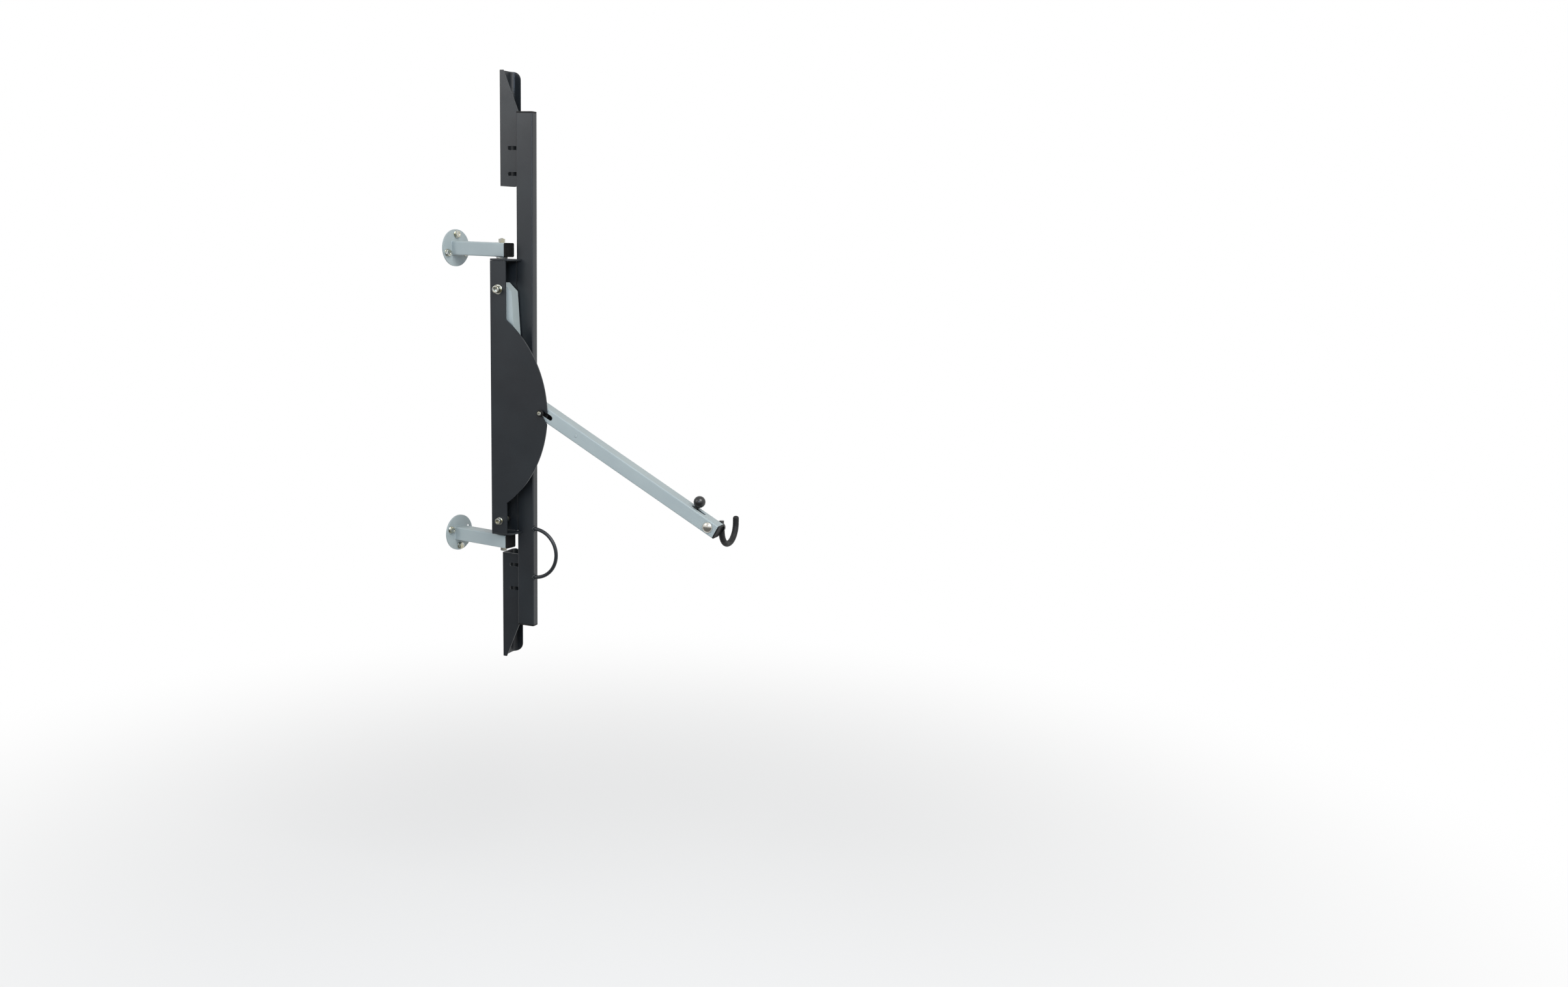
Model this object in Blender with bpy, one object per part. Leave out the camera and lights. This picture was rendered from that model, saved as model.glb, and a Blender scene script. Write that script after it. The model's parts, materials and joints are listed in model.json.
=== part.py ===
"""Wall-mounted bike lift, at its real size in metres.

A wheel hook on a gas-assisted arm lifts the front wheel of a bicycle until the bicycle
stands upright against two troughs on a vertical rail. The whole lift swivels on two wall arms.

+X runs along the lift, away from the wall. +Z is up. The side plate faces -Y.
The origin is the centre of the upper wall disc's back face. The arm is drawn lowered and
latched, and the lift is turned a little away from the wall's normal.
"""

import math

import bmesh
import bpy
from mathutils import Matrix, Vector

for old in list(bpy.data.objects):
    bpy.data.objects.remove(old, do_unlink=True)

# Clearance between pieces that touch
gap = 0.0003

# Sizes of M8 and M10 hexagon heads and nuts
m8_across = 0.013
m8_head = 0.0053
m8_nut = 0.0068
m10_across = 0.016

# Wall discs and wall arms
wall_reach = 0.136
swivel_rest = math.radians(10)
disc_diameter = 0.080
disc_thickness = 0.004
disc_bolt_circle = 0.060
disc_bolt_spread = math.radians(110)
wall_bolt = 0.008
wall_bolt_hole = 0.009
small_washer = 0.016
small_washer_thickness = 0.0016
square_tube = 0.030
square_tube_wall = 0.002
square_tube_corner = 0.003
arm_tail = 0.018
cap_thickness = 0.003
cap_insert = 0.012
cap_wall = 0.0022

# Swivel bolts between the wall arms and the housing
swivel_bolt = 0.008
swivel_head = 0.013
swivel_head_height = 0.005
swivel_socket = 0.005
swivel_space = 0.0035
bush_flange = 0.024
bush_wall = 0.0017
nut_height = 0.008
thread_end = 0.0012

# Housing: side plate towards -Y, far plate, back plate, top and bottom plates
housing_height = 0.600
housing_gap = 0.033
housing_back = -0.0125
neck_width = 0.038
mid_plane = -0.0085
sheet = 0.003
end_plate = 0.004
end_plate_reach = 0.043
end_plate_fillet = 0.012
bulge_drop = 0.128
bulge_height = 0.400
bulge_depth = 0.101
notch_reach = 0.060
notch_mouth = 0.006
notch_flare = math.atan(0.55)

# Bolts through the housing: the arm's pivot and the gas spring's anchor
cross_bolt = 0.010
cross_bolt_x = 0.0075
pivot_drop = 0.0645
anchor_rise = 0.0305
cross_head = 0.016
cross_head_height = 0.010
cross_socket = 0.008
cross_nut = 0.009
cross_washer = 0.021
washer_thickness = 0.002
pivot_bush = 0.016
pivot_flange = 0.026
anchor_bolt = 0.008
anchor_head = 0.013
anchor_head_height = 0.008
anchor_socket = 0.006
anchor_spacer = 0.0125

# Rail and its end caps
rail_width = 0.040
rail_depth = 0.020
rail_wall = 0.002
rail_corner = 0.003
rail_length = 1.112
rail_rise = 0.286
rail_x = 0.0305

# Wheel troughs
trough_length = 0.242
upper_overhang = 0.0905
lower_overhang = 0.0885
trough_back = -0.022
trough_sheet = 0.0025
trough_width = 0.045
near_wing_reach = 0.062
near_wing_tip = 0.010
near_wing_slope = math.radians(67.2)
near_wing_setback = 0.004
far_wing_depth = 0.023
upper_wing_corner = 0.017
lower_wing_corner = 0.020
trough_bend = 0.003
slot_first = 0.026
slot_second = 0.080
slot_start = -0.003
slot_width = 0.0082
trough_screw = 0.008
trough_screw_head = 0.006
trough_screw_length = 0.017
trough_flange = 0.0176
trough_flange_thickness = 0.0015
insert_length = 0.012

# Lock loop
loop_bar = 0.008
loop_height = 0.109
loop_rise = 0.1643

# Lift arm: a channel from the pivot to the knee, then a square tube to the hook
channel_width = 0.026
channel_depth = 0.040
channel_sheet = 0.003
channel_lean = math.radians(4)
channel_length = 0.246
channel_head = 0.014
channel_shoulder = 0.0115
channel_chamfer = 0.020
channel_chamfer_drop = 0.018
tube_angle = math.radians(28.3)
tube_offset = 0.178
tube_end = 0.680
lift_swing = math.radians(108)

# Hook
hook_bolt = 0.008
hook_bolt_inset = 0.019
hook_dome = 0.0236
hook_bar = 0.010
hook_sleeve = 0.0012
hook_lug_sheet = 0.005
hook_weld = 0.001
hook_lug_radius = 0.011
hook_dome_height = 0.006
hook_dome_rim = 0.0008
hook_lug_drop = 0.004
hook_side = 0.0152
hook_rise = 0.009
hook_drop = 0.0472
hook_span = 0.076
hook_roundness = 0.97
hook_tip_rise = 0.050

# Latch
latch_pin_at = 0.2157
latch_travel = 0.020
latch_pin = 0.0104
latch_head = 0.0155
latch_head_thickness = 0.004
latch_stand = 0.004
latch_rod = 0.006
latch_screw = 0.005
latch_screw_head = 0.009
latch_screw_head_height = 0.0028
latch_screw_socket = 0.0035
notch_width = 0.012
stop_at = 0.3083
knob_inset = 0.0647
knob_diameter = 0.025
knob_rise = 0.031
knob_stem = 0.008
block_play = 0.0006
block_length = 0.028
stop_length = 0.016
stop_rivet = 0.0048
stop_rivet_head = 0.0068
latch_spring_wire = 0.0012
latch_spring_diameter = 0.014
latch_spring_turns = 9

# Gas spring
spring_radius = 0.140
spring_lead = math.radians(3)
cylinder_diameter = 0.018
cylinder_wall = 0.0015
piston_rod = 0.008
gland_length = 0.014
dead_length = 0.045
eye_diameter = 0.018
eye_width = 0.010
eye_to_body = 0.020
spring_pin = 0.008
spring_pin_head = 0.014
spring_pin_shoulder = 0.013
eye_clear = 0.0015
cylinder_cap = 0.006
piston_length = 0.010
piston_room = 0.004

# Worked out from the sizes above
housing_top = -(square_tube / 2 + swivel_space)
housing_bottom = housing_top - housing_height
lower_arm_z = housing_bottom - swivel_space - square_tube / 2
near_inner = mid_plane - housing_gap / 2
far_inner = mid_plane + housing_gap / 2
near_face = near_inner - sheet
pivot = Vector((cross_bolt_x, mid_plane, housing_top - pivot_drop))
anchor = Vector((cross_bolt_x, mid_plane, housing_bottom + anchor_rise))
cross_points = ((pivot, cross_bolt), (anchor, anchor_bolt))
rail_bottom = rail_rise - rail_length
rail_far = far_inner + rail_depth
spring_foot = Vector((spring_radius * math.sin(spring_lead), 0, -spring_radius * math.cos(spring_lead)))
spring_line = pivot + spring_foot - anchor
spring_rest = spring_line.length
spring_tilt = math.atan2(spring_line.x, spring_line.z)
raised_foot = Matrix.Rotation(-lift_swing, 3, "Y") @ spring_foot
spring_stroke = (pivot + raised_foot - anchor).length - spring_rest
cylinder_length = spring_stroke + dead_length
knob_at = tube_end - knob_inset
smooth_angle = math.radians(32)


def material(name, colour, roughness, metallic=0.0):
    """A Principled material with one colour, roughness and metallic value."""
    made = bpy.data.materials.new(name)
    made.use_nodes = True
    shader = made.node_tree.nodes["Principled BSDF"]
    shader.inputs["Base Color"].default_value = (*colour, 1.0)
    shader.inputs["Roughness"].default_value = roughness
    shader.inputs["Metallic"].default_value = metallic
    made.diffuse_color = (*colour, 1.0)
    return made


light_paint = material("light_grey_paint", (0.42, 0.49, 0.50), 0.42)
dark_powder = material("anthracite_powder_coat", (0.040, 0.046, 0.054), 0.62)
black_plastic = material("black_plastic", (0.012, 0.012, 0.013), 0.45)
black_rubber = material("black_rubber", (0.014, 0.014, 0.015), 0.75)
white_nylon = material("white_nylon", (0.70, 0.69, 0.65), 0.50)
zinc = material("zinc_plate", (0.62, 0.62, 0.60), 0.32, 1.0)
polished = material("polished_steel", (0.72, 0.71, 0.69), 0.12, 1.0)
spring_steel = material("spring_steel", (0.35, 0.35, 0.36), 0.40, 1.0)
black_enamel = material("black_enamel", (0.010, 0.010, 0.011), 0.25)


def circle(radius, sides, centre=(0.0, 0.0), start=0.0):
    """Points of a circle, as a flat outline."""
    turn = 2 * math.pi / sides
    x, y = centre
    angles = [start + i * turn for i in range(sides)]
    return [(x + radius * math.cos(a), y + radius * math.sin(a)) for a in angles]


def hexagon(across_flats, centre=(0.0, 0.0)):
    """Points of a hexagon, from its size across the flats."""
    return circle(across_flats / math.sqrt(3), 6, centre, math.pi / 6)


def rounded(corners, steps=4, closed=True):
    """An outline or path whose corners (x, y, radius) are turned into arcs."""
    points = []
    count = len(corners)
    for i, corner in enumerate(corners):
        here = Vector(corner[:2])
        radius = corner[2] if len(corner) > 2 else 0.0
        if radius <= 0 or (not closed and i in (0, count - 1)):
            points.append(tuple(here))
            continue
        before = (Vector(corners[i - 1][:2]) - here).normalized()
        after = (Vector(corners[(i + 1) % count][:2]) - here).normalized()
        half = before.angle(after) / 2
        centre = here + (before + after).normalized() * (radius / math.sin(half))
        first = here + before * (radius / math.tan(half)) - centre
        last = here + after * (radius / math.tan(half)) - centre
        sweep = first.angle_signed(last)
        for k in range(steps + 1):
            points.append(tuple(centre + Matrix.Rotation(-sweep * k / steps, 2) @ first))
    return points


def rectangle(width, height, radius, steps=3, centre=(0.0, 0.0)):
    """A rectangle with round corners."""
    x, y = centre
    w, h = width / 2, height / 2
    corners = [(x - w, y - h), (x + w, y - h), (x + w, y + h), (x - w, y + h)]
    return rounded([(*corner, radius) for corner in corners], steps)


def capsule(first, last, radius, steps=8):
    """A slot with round ends, between two centres."""
    first, last = Vector(first), Vector(last)
    along = math.atan2(last.y - first.y, last.x - first.x)
    points = []
    for centre, start in ((last, along - math.pi / 2), (first, along + math.pi / 2)):
        for k in range(steps + 1):
            angle = start + math.pi * k / steps
            points.append((centre.x + radius * math.cos(angle), centre.y + radius * math.sin(angle)))
    return points


def at_x(outline, x):
    """An outline drawn in Y and Z, placed at x."""
    return [Vector((x, a, b)) for a, b in outline]


def at_y(outline, y):
    """An outline drawn in X and Z, placed at y."""
    return [Vector((a, y, b)) for a, b in outline]


def at_z(outline, z):
    """An outline drawn in X and Y, placed at z."""
    return [Vector((a, b, z)) for a, b in outline]


def ring_of(mesh, points):
    """Vertices of one closed ring, with its edges."""
    verts = [mesh.verts.new(point) for point in points]
    edges = [mesh.edges.new((verts[i - 1], verts[i])) for i in range(len(verts))]
    return verts, edges


def stepped(rings, closed=False):
    """A solid through a row of rings: rings of one size are bridged, others filled where they lie flat."""
    mesh = bmesh.new()
    made = [ring_of(mesh, points) for points in rings]
    pairs = list(zip(made, made[1:]))
    if closed:
        pairs.append((made[-1], made[0]))
    for (verts_a, edges_a), (verts_b, edges_b) in pairs:
        if len(verts_a) == len(verts_b):
            for i in range(len(verts_a)):
                mesh.faces.new((verts_a[i - 1], verts_a[i], verts_b[i], verts_b[i - 1]))
        else:
            bmesh.ops.triangle_fill(mesh, use_beauty=True, edges=edges_a + edges_b)
    if not closed:
        mesh.faces.new(made[0][0])
        mesh.faces.new(made[-1][0])
    return mesh


def sheet_metal(outline, holes, low, high, place):
    """A flat plate with holes, from its outline, between two levels along one axis."""
    mesh = bmesh.new()
    bottom = [ring_of(mesh, place(loop, low)) for loop in [outline, *holes]]
    top = [ring_of(mesh, place(loop, high)) for loop in [outline, *holes]]
    for level in (bottom, top):
        edges = [edge for _, ring in level for edge in ring]
        bmesh.ops.triangle_fill(mesh, use_beauty=True, edges=edges)
    for (verts_a, _), (verts_b, _) in zip(bottom, top):
        for i in range(len(verts_a)):
            mesh.faces.new((verts_a[i - 1], verts_a[i], verts_b[i], verts_b[i - 1]))
    return mesh


def turned(profile, place, sides=24, centre=(0.0, 0.0), closed=False):
    """A round solid from (radius, level) pairs along one axis."""
    return stepped([place(circle(radius, sides, centre), level) for radius, level in profile], closed)


def swept(points, normals, radius, sides=12):
    """Rings of a round bar that follows a path; each normal stands square to the path."""
    rings = []
    for i, point in enumerate(points):
        ahead = points[min(i + 1, len(points) - 1)]
        behind = points[max(i - 1, 0)]
        tangent = (ahead - behind).normalized()
        normal = (normals[i] - tangent * normals[i].dot(tangent)).normalized()
        side = tangent.cross(normal)
        rings.append([point + (normal * u + side * v) * radius for u, v in circle(1.0, sides)])
    return rings


def together(*meshes):
    """Several separate solids in one mesh."""
    whole = bmesh.new()
    for mesh in meshes:
        data = bpy.data.meshes.new("part")
        mesh.to_mesh(data)
        whole.from_mesh(data)
        mesh.free()
        bpy.data.meshes.remove(data)
    return whole


def moved(mesh, location=(0, 0, 0), rotation=None):
    """The same mesh, turned and then moved."""
    place = Matrix.Translation(location)
    if rotation is not None:
        place = place @ rotation
    bmesh.ops.transform(mesh, matrix=place, verts=mesh.verts)
    return mesh


def empty(name, location=(0, 0, 0), rotation=(0, 0, 0), parent=None):
    """A frame that pieces are placed in."""
    frame = bpy.data.objects.new(name, None)
    frame.location = location
    frame.rotation_euler = rotation
    frame.parent = parent
    bpy.context.scene.collection.objects.link(frame)
    return frame


def piece(name, mesh, finish, parent, location=(0, 0, 0), rotation=(0, 0, 0)):
    """One named object from a mesh, with its faces turned outwards."""
    bmesh.ops.recalc_face_normals(mesh, faces=mesh.faces)
    data = bpy.data.meshes.new(name)
    mesh.to_mesh(data)
    mesh.free()
    data.materials.append(finish)
    data.shade_smooth()
    data.set_sharp_from_angle(angle=smooth_angle)
    made = bpy.data.objects.new(name, data)
    made.location = location
    made.rotation_euler = rotation
    made.parent = parent
    bpy.context.scene.collection.objects.link(made)
    return made


def cut(target, name, mesh, parent):
    """Cuts a tool's shape out of a piece."""
    tool = piece(name, mesh, target.data.materials[0], parent)
    tool.hide_render = True
    tool.display_type = "WIRE"
    modifier = target.modifiers.new(name, "BOOLEAN")
    modifier.operation = "DIFFERENCE"
    modifier.solver = "EXACT"
    modifier.object = tool


def weld(target, name, mesh, parent):
    """Joins a shape to a piece."""
    cut(target, name, mesh, parent)
    target.modifiers[name].operation = "UNION"


def tube_rings(width, height, corner, wall, place, low, high):
    """Rings of a straight hollow section."""
    outer = rectangle(width, height, corner)
    inner = rectangle(width - 2 * wall, height - 2 * wall, max(corner - wall, wall / 4))
    return [place(outer, low), place(outer, high), place(inner, high), place(inner, low)]


def end_cap(width, height, corner, wall, place, level, outwards):
    """A plastic end cap: a plate over the tube's end and a hollow insert inside it."""
    play = 2 * (wall + gap)
    cover = rectangle(width, height, corner)
    cover_face = rectangle(width - 0.0016, height - 0.0016, corner - 0.0008)
    insert = rectangle(width - play, height - play, max(corner - wall, wall / 4))
    hollow = rectangle(width - play - 2 * cap_wall, height - play - 2 * cap_wall, wall / 4)
    top = level + outwards * (gap + cap_thickness)
    base = level + outwards * gap
    tip = level - outwards * cap_insert
    return stepped([
        place(cover_face, top),
        place(cover, top - outwards * 0.0008),
        place(cover, base),
        place(insert, base),
        place(insert, tip),
        place(hollow, tip),
        place(hollow, base),
    ])


def hex_bolt(across, head, shank, length, washer=(0.0, 0.0), sides=16):
    """A hexagon bolt along +Z on its washer: the washer's underside is at 0, the shank hangs below it."""
    bevel = across * 0.06
    wide, seat = washer
    rings = [
        at_z(circle(shank / 2 - 0.0006, sides), -length),
        at_z(circle(shank / 2, sides), -length + 0.0008),
        at_z(circle(shank / 2, sides), 0),
        at_z(circle(wide / 2, 20), 0),
        at_z(circle(wide / 2, 20), seat),
        at_z(hexagon(across), seat),
        at_z(hexagon(across), seat + head - bevel / 2),
        at_z(hexagon(across - bevel), seat + head),
    ]
    if not seat:
        del rings[3:5]
    return stepped(rings)


def hex_nut(across, height, bore, washer=(0.0, 0.0), sides=16):
    """A hexagon nut along +Z on its washer, whose base is at 0."""
    bevel = across * 0.06
    wide, seat = washer
    rings = [
        at_z(circle(bore / 2, sides), 0),
        at_z(circle(wide / 2, 20), 0),
        at_z(circle(wide / 2, 20), seat),
        at_z(hexagon(across), seat),
        at_z(hexagon(across), seat + height - bevel / 2),
        at_z(hexagon(across - bevel), seat + height),
        at_z(circle(bore / 2, sides), seat + height),
    ]
    if not seat:
        del rings[1:3]
    return stepped(rings, closed=True)


def socket_bolt(head_diameter, head, shank, length, socket, washer=(0.0, 0.0), sides=20):
    """A socket-head bolt along +Z on its washer: the washer's underside is at 0."""
    wide, seat = washer
    rings = [
        at_z(circle(shank / 2 - 0.0006, sides), -length),
        at_z(circle(shank / 2, sides), -length + 0.0008),
        at_z(circle(shank / 2, sides), 0),
        at_z(circle(wide / 2, 20), 0),
        at_z(circle(wide / 2, 20), seat),
        at_z(circle(head_diameter / 2, sides), seat),
        at_z(circle(head_diameter / 2, sides), seat + head - 0.0010),
        at_z(circle(head_diameter / 2 - 0.0010, sides), seat + head),
        at_z(hexagon(socket), seat + head),
        at_z(hexagon(socket), seat + head / 2),
    ]
    if not seat:
        del rings[3:5]
    return stepped(rings)


def spacer_ring(outside, bore, thickness, sides=20):
    """A flat ring along +Z, with its base at 0."""
    return turned([
        (bore / 2, 0),
        (outside / 2, 0),
        (outside / 2, thickness),
        (bore / 2, thickness),
    ], at_z, sides, closed=True)


towards_viewer = Matrix.Rotation(math.radians(90), 4, "X")
away_from_viewer = Matrix.Rotation(math.radians(-90), 4, "X")
along_x = Matrix.Rotation(math.radians(90), 4, "Y")
upside_down = Matrix.Rotation(math.radians(180), 4, "X")

wall = empty("wall_frame", rotation=(0, 0, -swivel_rest))
swivel = empty("swivel_frame", (wall_reach * math.cos(swivel_rest), -wall_reach * math.sin(swivel_rest), 0))
arm = empty("arm_frame", pivot, parent=swivel)
tube = empty(
    "tube_frame",
    (-tube_offset * math.sin(tube_angle), 0, -tube_offset * math.cos(tube_angle)),
    (0, tube_angle, 0),
    arm,
)
latch = empty("latch_frame", (latch_pin_at, 0, 0), parent=tube)
hook = empty("hook_frame", (tube_end - hook_bolt_inset, 0, 0), (0, -tube_angle, 0), tube)
rod = empty("rod_frame", anchor, (0, spring_tilt, 0), swivel)
cylinder = empty("cylinder_frame", pivot + spring_foot, (0, spring_tilt, 0), swivel)


def disc_points(way):
    """Places of a wall disc's three holes: the first straight up or down, then the near and the far one."""
    first = way * math.radians(90)
    angles = (first, first + way * disc_bolt_spread, first - way * disc_bolt_spread)
    radius = disc_bolt_circle / 2
    return [(radius * math.cos(angle), radius * math.sin(angle)) for angle in angles]


def wall_bracket(level, z, way, bolts):
    """A round wall plate with three bolt holes, and the square tube welded to it."""
    holes = [circle(wall_bolt_hole / 2, 12, point) for point in disc_points(way)]
    disc = sheet_metal(circle(disc_diameter / 2, 40), holes, 0, disc_thickness, at_x)
    made = piece(level + "_wall_bracket", disc, light_paint, wall, (0, 0, z))
    end = wall_reach + arm_tail
    rings = tube_rings(
        square_tube, square_tube, square_tube_corner, square_tube_wall, at_x, disc_thickness / 2, end
    )
    weld(made, level + "_tube", moved(stepped(rings, closed=True), (0, 0, z)), wall)
    bore = turned([
        (swivel_bolt / 2 + gap, z - square_tube),
        (swivel_bolt / 2 + gap, z + square_tube),
    ], at_z, 20, (wall_reach, 0))
    cut(made, level + "_bore", bore, wall)
    cap = end_cap(square_tube, square_tube, square_tube_corner, square_tube_wall, at_x, end, 1)
    piece(level + "_arm_cap", cap, black_plastic, wall, (0, 0, z))
    seat = disc_thickness + gap
    for count, (y, rise) in enumerate(disc_points(way)[:bolts], 1):
        ring = (small_washer, small_washer_thickness)
        bolt = hex_bolt(m8_across, m8_head, wall_bolt, disc_thickness, ring, 12)
        name = f"{level}_wall_bolt_{count}"
        piece(name, moved(bolt, rotation=along_x), zinc, wall, (seat, y, z + rise))


def swivel_joint():
    """Swivel bolts and nuts, fixed to the wall arms, and the bushes that turn on them."""
    shank = end_plate + swivel_space + square_tube + 2 * gap + nut_height + thread_end
    bush_outside = swivel_bolt / 2 + gap + bush_wall
    plate_top = -(square_tube / 2 + swivel_space)
    for level, z, flip in (("upper", 0.0, 0), ("lower", lower_arm_z, math.pi)):
        centre = (wall_reach, 0, z)
        bolt = socket_bolt(swivel_head, swivel_head_height, swivel_bolt, shank, swivel_socket)
        bolt = moved(bolt, (0, 0, plate_top - end_plate - gap), upside_down)
        piece(level + "_swivel_bolt", bolt, zinc, wall, centre, (flip, 0, 0))
        nut = hex_nut(m8_across, nut_height, swivel_bolt + 2 * gap)
        nut = moved(nut, (0, 0, square_tube / 2 + gap))
        piece(level + "_swivel_nut", nut, zinc, wall, centre, (flip, 0, 0))
        bush = turned([
            (swivel_bolt / 2 + gap, plate_top + swivel_space - gap),
            (bush_flange / 2, plate_top + swivel_space - gap),
            (bush_flange / 2, plate_top + gap),
            (bush_outside, plate_top + gap),
            (bush_outside, plate_top - end_plate),
            (swivel_bolt / 2 + gap, plate_top - end_plate),
        ], at_z, 20, closed=True)
        piece(level + "_swivel_bush", bush, white_nylon, swivel, (0, 0, z), (flip, 0, 0))


def side_plate():
    """The plate that shows: a neck with a bulging edge, and a notch for the latch pin."""
    right = housing_back + neck_width
    top = housing_top - end_plate - gap
    bottom = housing_bottom + end_plate + gap
    bulge_top = housing_top - bulge_drop
    centre_z = bulge_top - bulge_height / 2
    half = bulge_height / 2
    radius = (half ** 2 + bulge_depth ** 2) / (2 * bulge_depth)
    reach = math.asin(half / radius)
    centre_x = right + bulge_depth - radius
    steps = 36
    edge = []
    for k in range(steps + 1):
        angle = reach - 2 * reach * k / steps
        edge.append((centre_x + radius * math.cos(angle), centre_z + radius * math.sin(angle)))
    outline = [(housing_back, bottom), (housing_back, top), (right, top), *edge, (right, bottom)]
    holes = [circle(bolt / 2 + gap, 20, (point.x, point.z)) for point, bolt in cross_points]
    mesh = sheet_metal(outline, holes, near_face, near_inner, at_y)
    made = piece("side_plate", mesh, dark_powder, swivel)
    half_notch = notch_width / 2
    far = latch_pin_at + notch_reach
    mouth = latch_pin_at + notch_mouth
    slot = rounded([
        (latch_pin_at - half_notch, -half_notch, half_notch * 0.98),
        (mouth, -half_notch, 0.003),
        (far, -half_notch - (far - mouth) * math.tan(notch_flare)),
        (far, half_notch),
        (latch_pin_at - half_notch, half_notch, half_notch * 0.98),
    ], 6)
    mesh = sheet_metal(slot, [], -housing_gap / 2 - 2 * sheet, -housing_gap / 2 + sheet, at_y)
    cut(made, "latch_notch", mesh, tube)


def back_cover():
    """The folded sheet that closes the housing towards the wall and towards the rail."""
    top = housing_top - end_plate - gap
    bottom = housing_bottom + end_plate + gap
    right = rail_x - gap
    far = far_inner + sheet
    fold = rounded([
        (housing_back, near_inner + gap),
        (housing_back + sheet, near_inner + gap),
        (housing_back + sheet, far_inner),
        (right, far_inner),
        (right, far),
        (housing_back, far, sheet),
    ])
    made = piece("back_cover", stepped([at_z(fold, bottom), at_z(fold, top)]), dark_powder, swivel)
    bores = [
        turned([
            (bolt / 2 + gap, far_inner - sheet),
            (bolt / 2 + gap, far + sheet),
        ], at_y, 20, (point.x, point.z))
        for point, bolt in cross_points
    ]
    cut(made, "cover_bores", together(*bores), swivel)


def end_plates():
    """Top and bottom plates of the housing, each with a tongue over the rail's near face."""
    right = housing_back + neck_width
    outline = rounded([
        (housing_back, near_face),
        (right + 0.008, near_face, end_plate_fillet),
        (end_plate_reach, far_inner - gap),
        (rail_x - gap, far_inner - gap),
        (rail_x - gap, far_inner + sheet),
        (housing_back, far_inner + sheet),
    ], 8)
    hole = circle(swivel_bolt / 2 + bush_wall + 2 * gap, 24)
    for name, low in (("top_plate", housing_top - end_plate), ("bottom_plate", housing_bottom)):
        mesh = sheet_metal(outline, [hole], low, low + end_plate, at_z)
        piece(name, mesh, dark_powder, swivel)


def cross_bolts():
    """The two bolts through the housing, with the bushes and spacers that turn on them."""
    near_seat = near_face - gap
    far_seat = far_inner + sheet + gap
    large = (cross_washer, washer_thickness)
    small = (small_washer, small_washer_thickness)
    fasteners = (
        ("pivot", cross_head, cross_head_height, cross_socket, large, m10_across, cross_nut),
        ("anchor", anchor_head, anchor_head_height, anchor_socket, small, m8_across, m8_nut),
    )
    for (point, shank), fastener in zip(cross_points, fasteners):
        name, wide, height, socket, ring, across, nut_rise = fastener
        length = far_seat + ring[1] + nut_rise + thread_end - near_seat
        bolt = socket_bolt(wide, height, shank, length, socket, ring)
        bolt = moved(bolt, (0, near_seat - mid_plane, 0), towards_viewer)
        piece(name + "_bolt", bolt, zinc, swivel, point)
        nut = hex_nut(across, nut_rise, shank + 2 * gap, ring)
        nut = moved(nut, (0, far_seat - mid_plane, 0), away_from_viewer)
        piece(name + "_nut", nut, zinc, swivel, point)
    bore = cross_bolt + 2 * gap
    half = housing_gap / 2 - gap
    cheek = channel_width / 2
    bush = turned([
        (bore / 2, -half),
        (pivot_flange / 2, -half),
        (pivot_flange / 2, -cheek - gap),
        (pivot_bush / 2, -cheek - gap),
        (pivot_bush / 2, -gap),
        (bore / 2, -gap),
    ], at_y, 20, closed=True)
    spacer = spacer_ring(anchor_spacer, anchor_bolt + 2 * gap, half - eye_width / 2 - gap)
    for side, turn in (("near", 0), ("far", math.pi)):
        piece(side + "_pivot_bush", bush.copy(), white_nylon, arm, (0, 0, 0), (0, 0, turn))
        ring = moved(spacer.copy(), (0, -half, 0), away_from_viewer)
        piece(side + "_anchor_spacer", ring, black_plastic, swivel, anchor, (0, 0, turn))
    bush.free()
    spacer.free()


def rail():
    """The long box-section rail with its end caps, and the nut inserts crimped into it."""
    centre = (rail_x + rail_width / 2, far_inner + rail_depth / 2)
    rings = tube_rings(rail_width, rail_depth, rail_corner, rail_wall, at_z, rail_bottom, rail_rise)
    made = piece("rail", stepped(rings, closed=True), dark_powder, swivel, (*centre, 0))
    outer = insert_radius()
    inserts = []
    bores = []
    for x, z in trough_screw_points():
        inserts.append(turned([
            (outer, rail_far - 0.0005),
            (outer, rail_far - rail_wall),
            (outer + 0.0012, rail_far - rail_wall),
            (outer + 0.0012, rail_far - rail_wall - 0.003),
            (outer, rail_far - rail_wall - 0.0045),
            (outer, rail_far - insert_length),
        ], at_y, 16, (x, z)))
        bores.append(turned([
            (trough_screw / 2 + gap, rail_far - insert_length - 0.003),
            (trough_screw / 2 + gap, rail_far + rail_wall),
        ], at_y, 16, (x, z)))
    weld(made, "nut_inserts", together(*inserts), swivel)
    cut(made, "insert_bores", together(*bores), swivel)
    for name, level, outwards in (("rail_top_cap", rail_rise, 1), ("rail_bottom_cap", rail_bottom, -1)):
        cap = end_cap(rail_width, rail_depth, rail_corner, rail_wall, at_z, level, outwards)
        piece(name, cap, black_plastic, swivel, (*centre, 0))


def insert_radius():
    """Outer radius of the nut inserts in the rail."""
    return trough_screw / 2 + 0.0015


def trough_ends():
    """Inner end, outer end and rail end of the upper and the lower trough."""
    upper = rail_rise + upper_overhang
    lower = rail_bottom - lower_overhang
    return ((upper - trough_length, upper, rail_rise), (lower + trough_length, lower, rail_bottom))


def trough_screw_points():
    """Where the four trough screws stand, at the middle of the rail."""
    points = []
    for inner, outer, _ in trough_ends():
        side = 1 if outer > inner else -1
        for step in (slot_first, slot_second):
            points.append((rail_x + rail_width / 2, inner + side * step))
    return points


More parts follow.
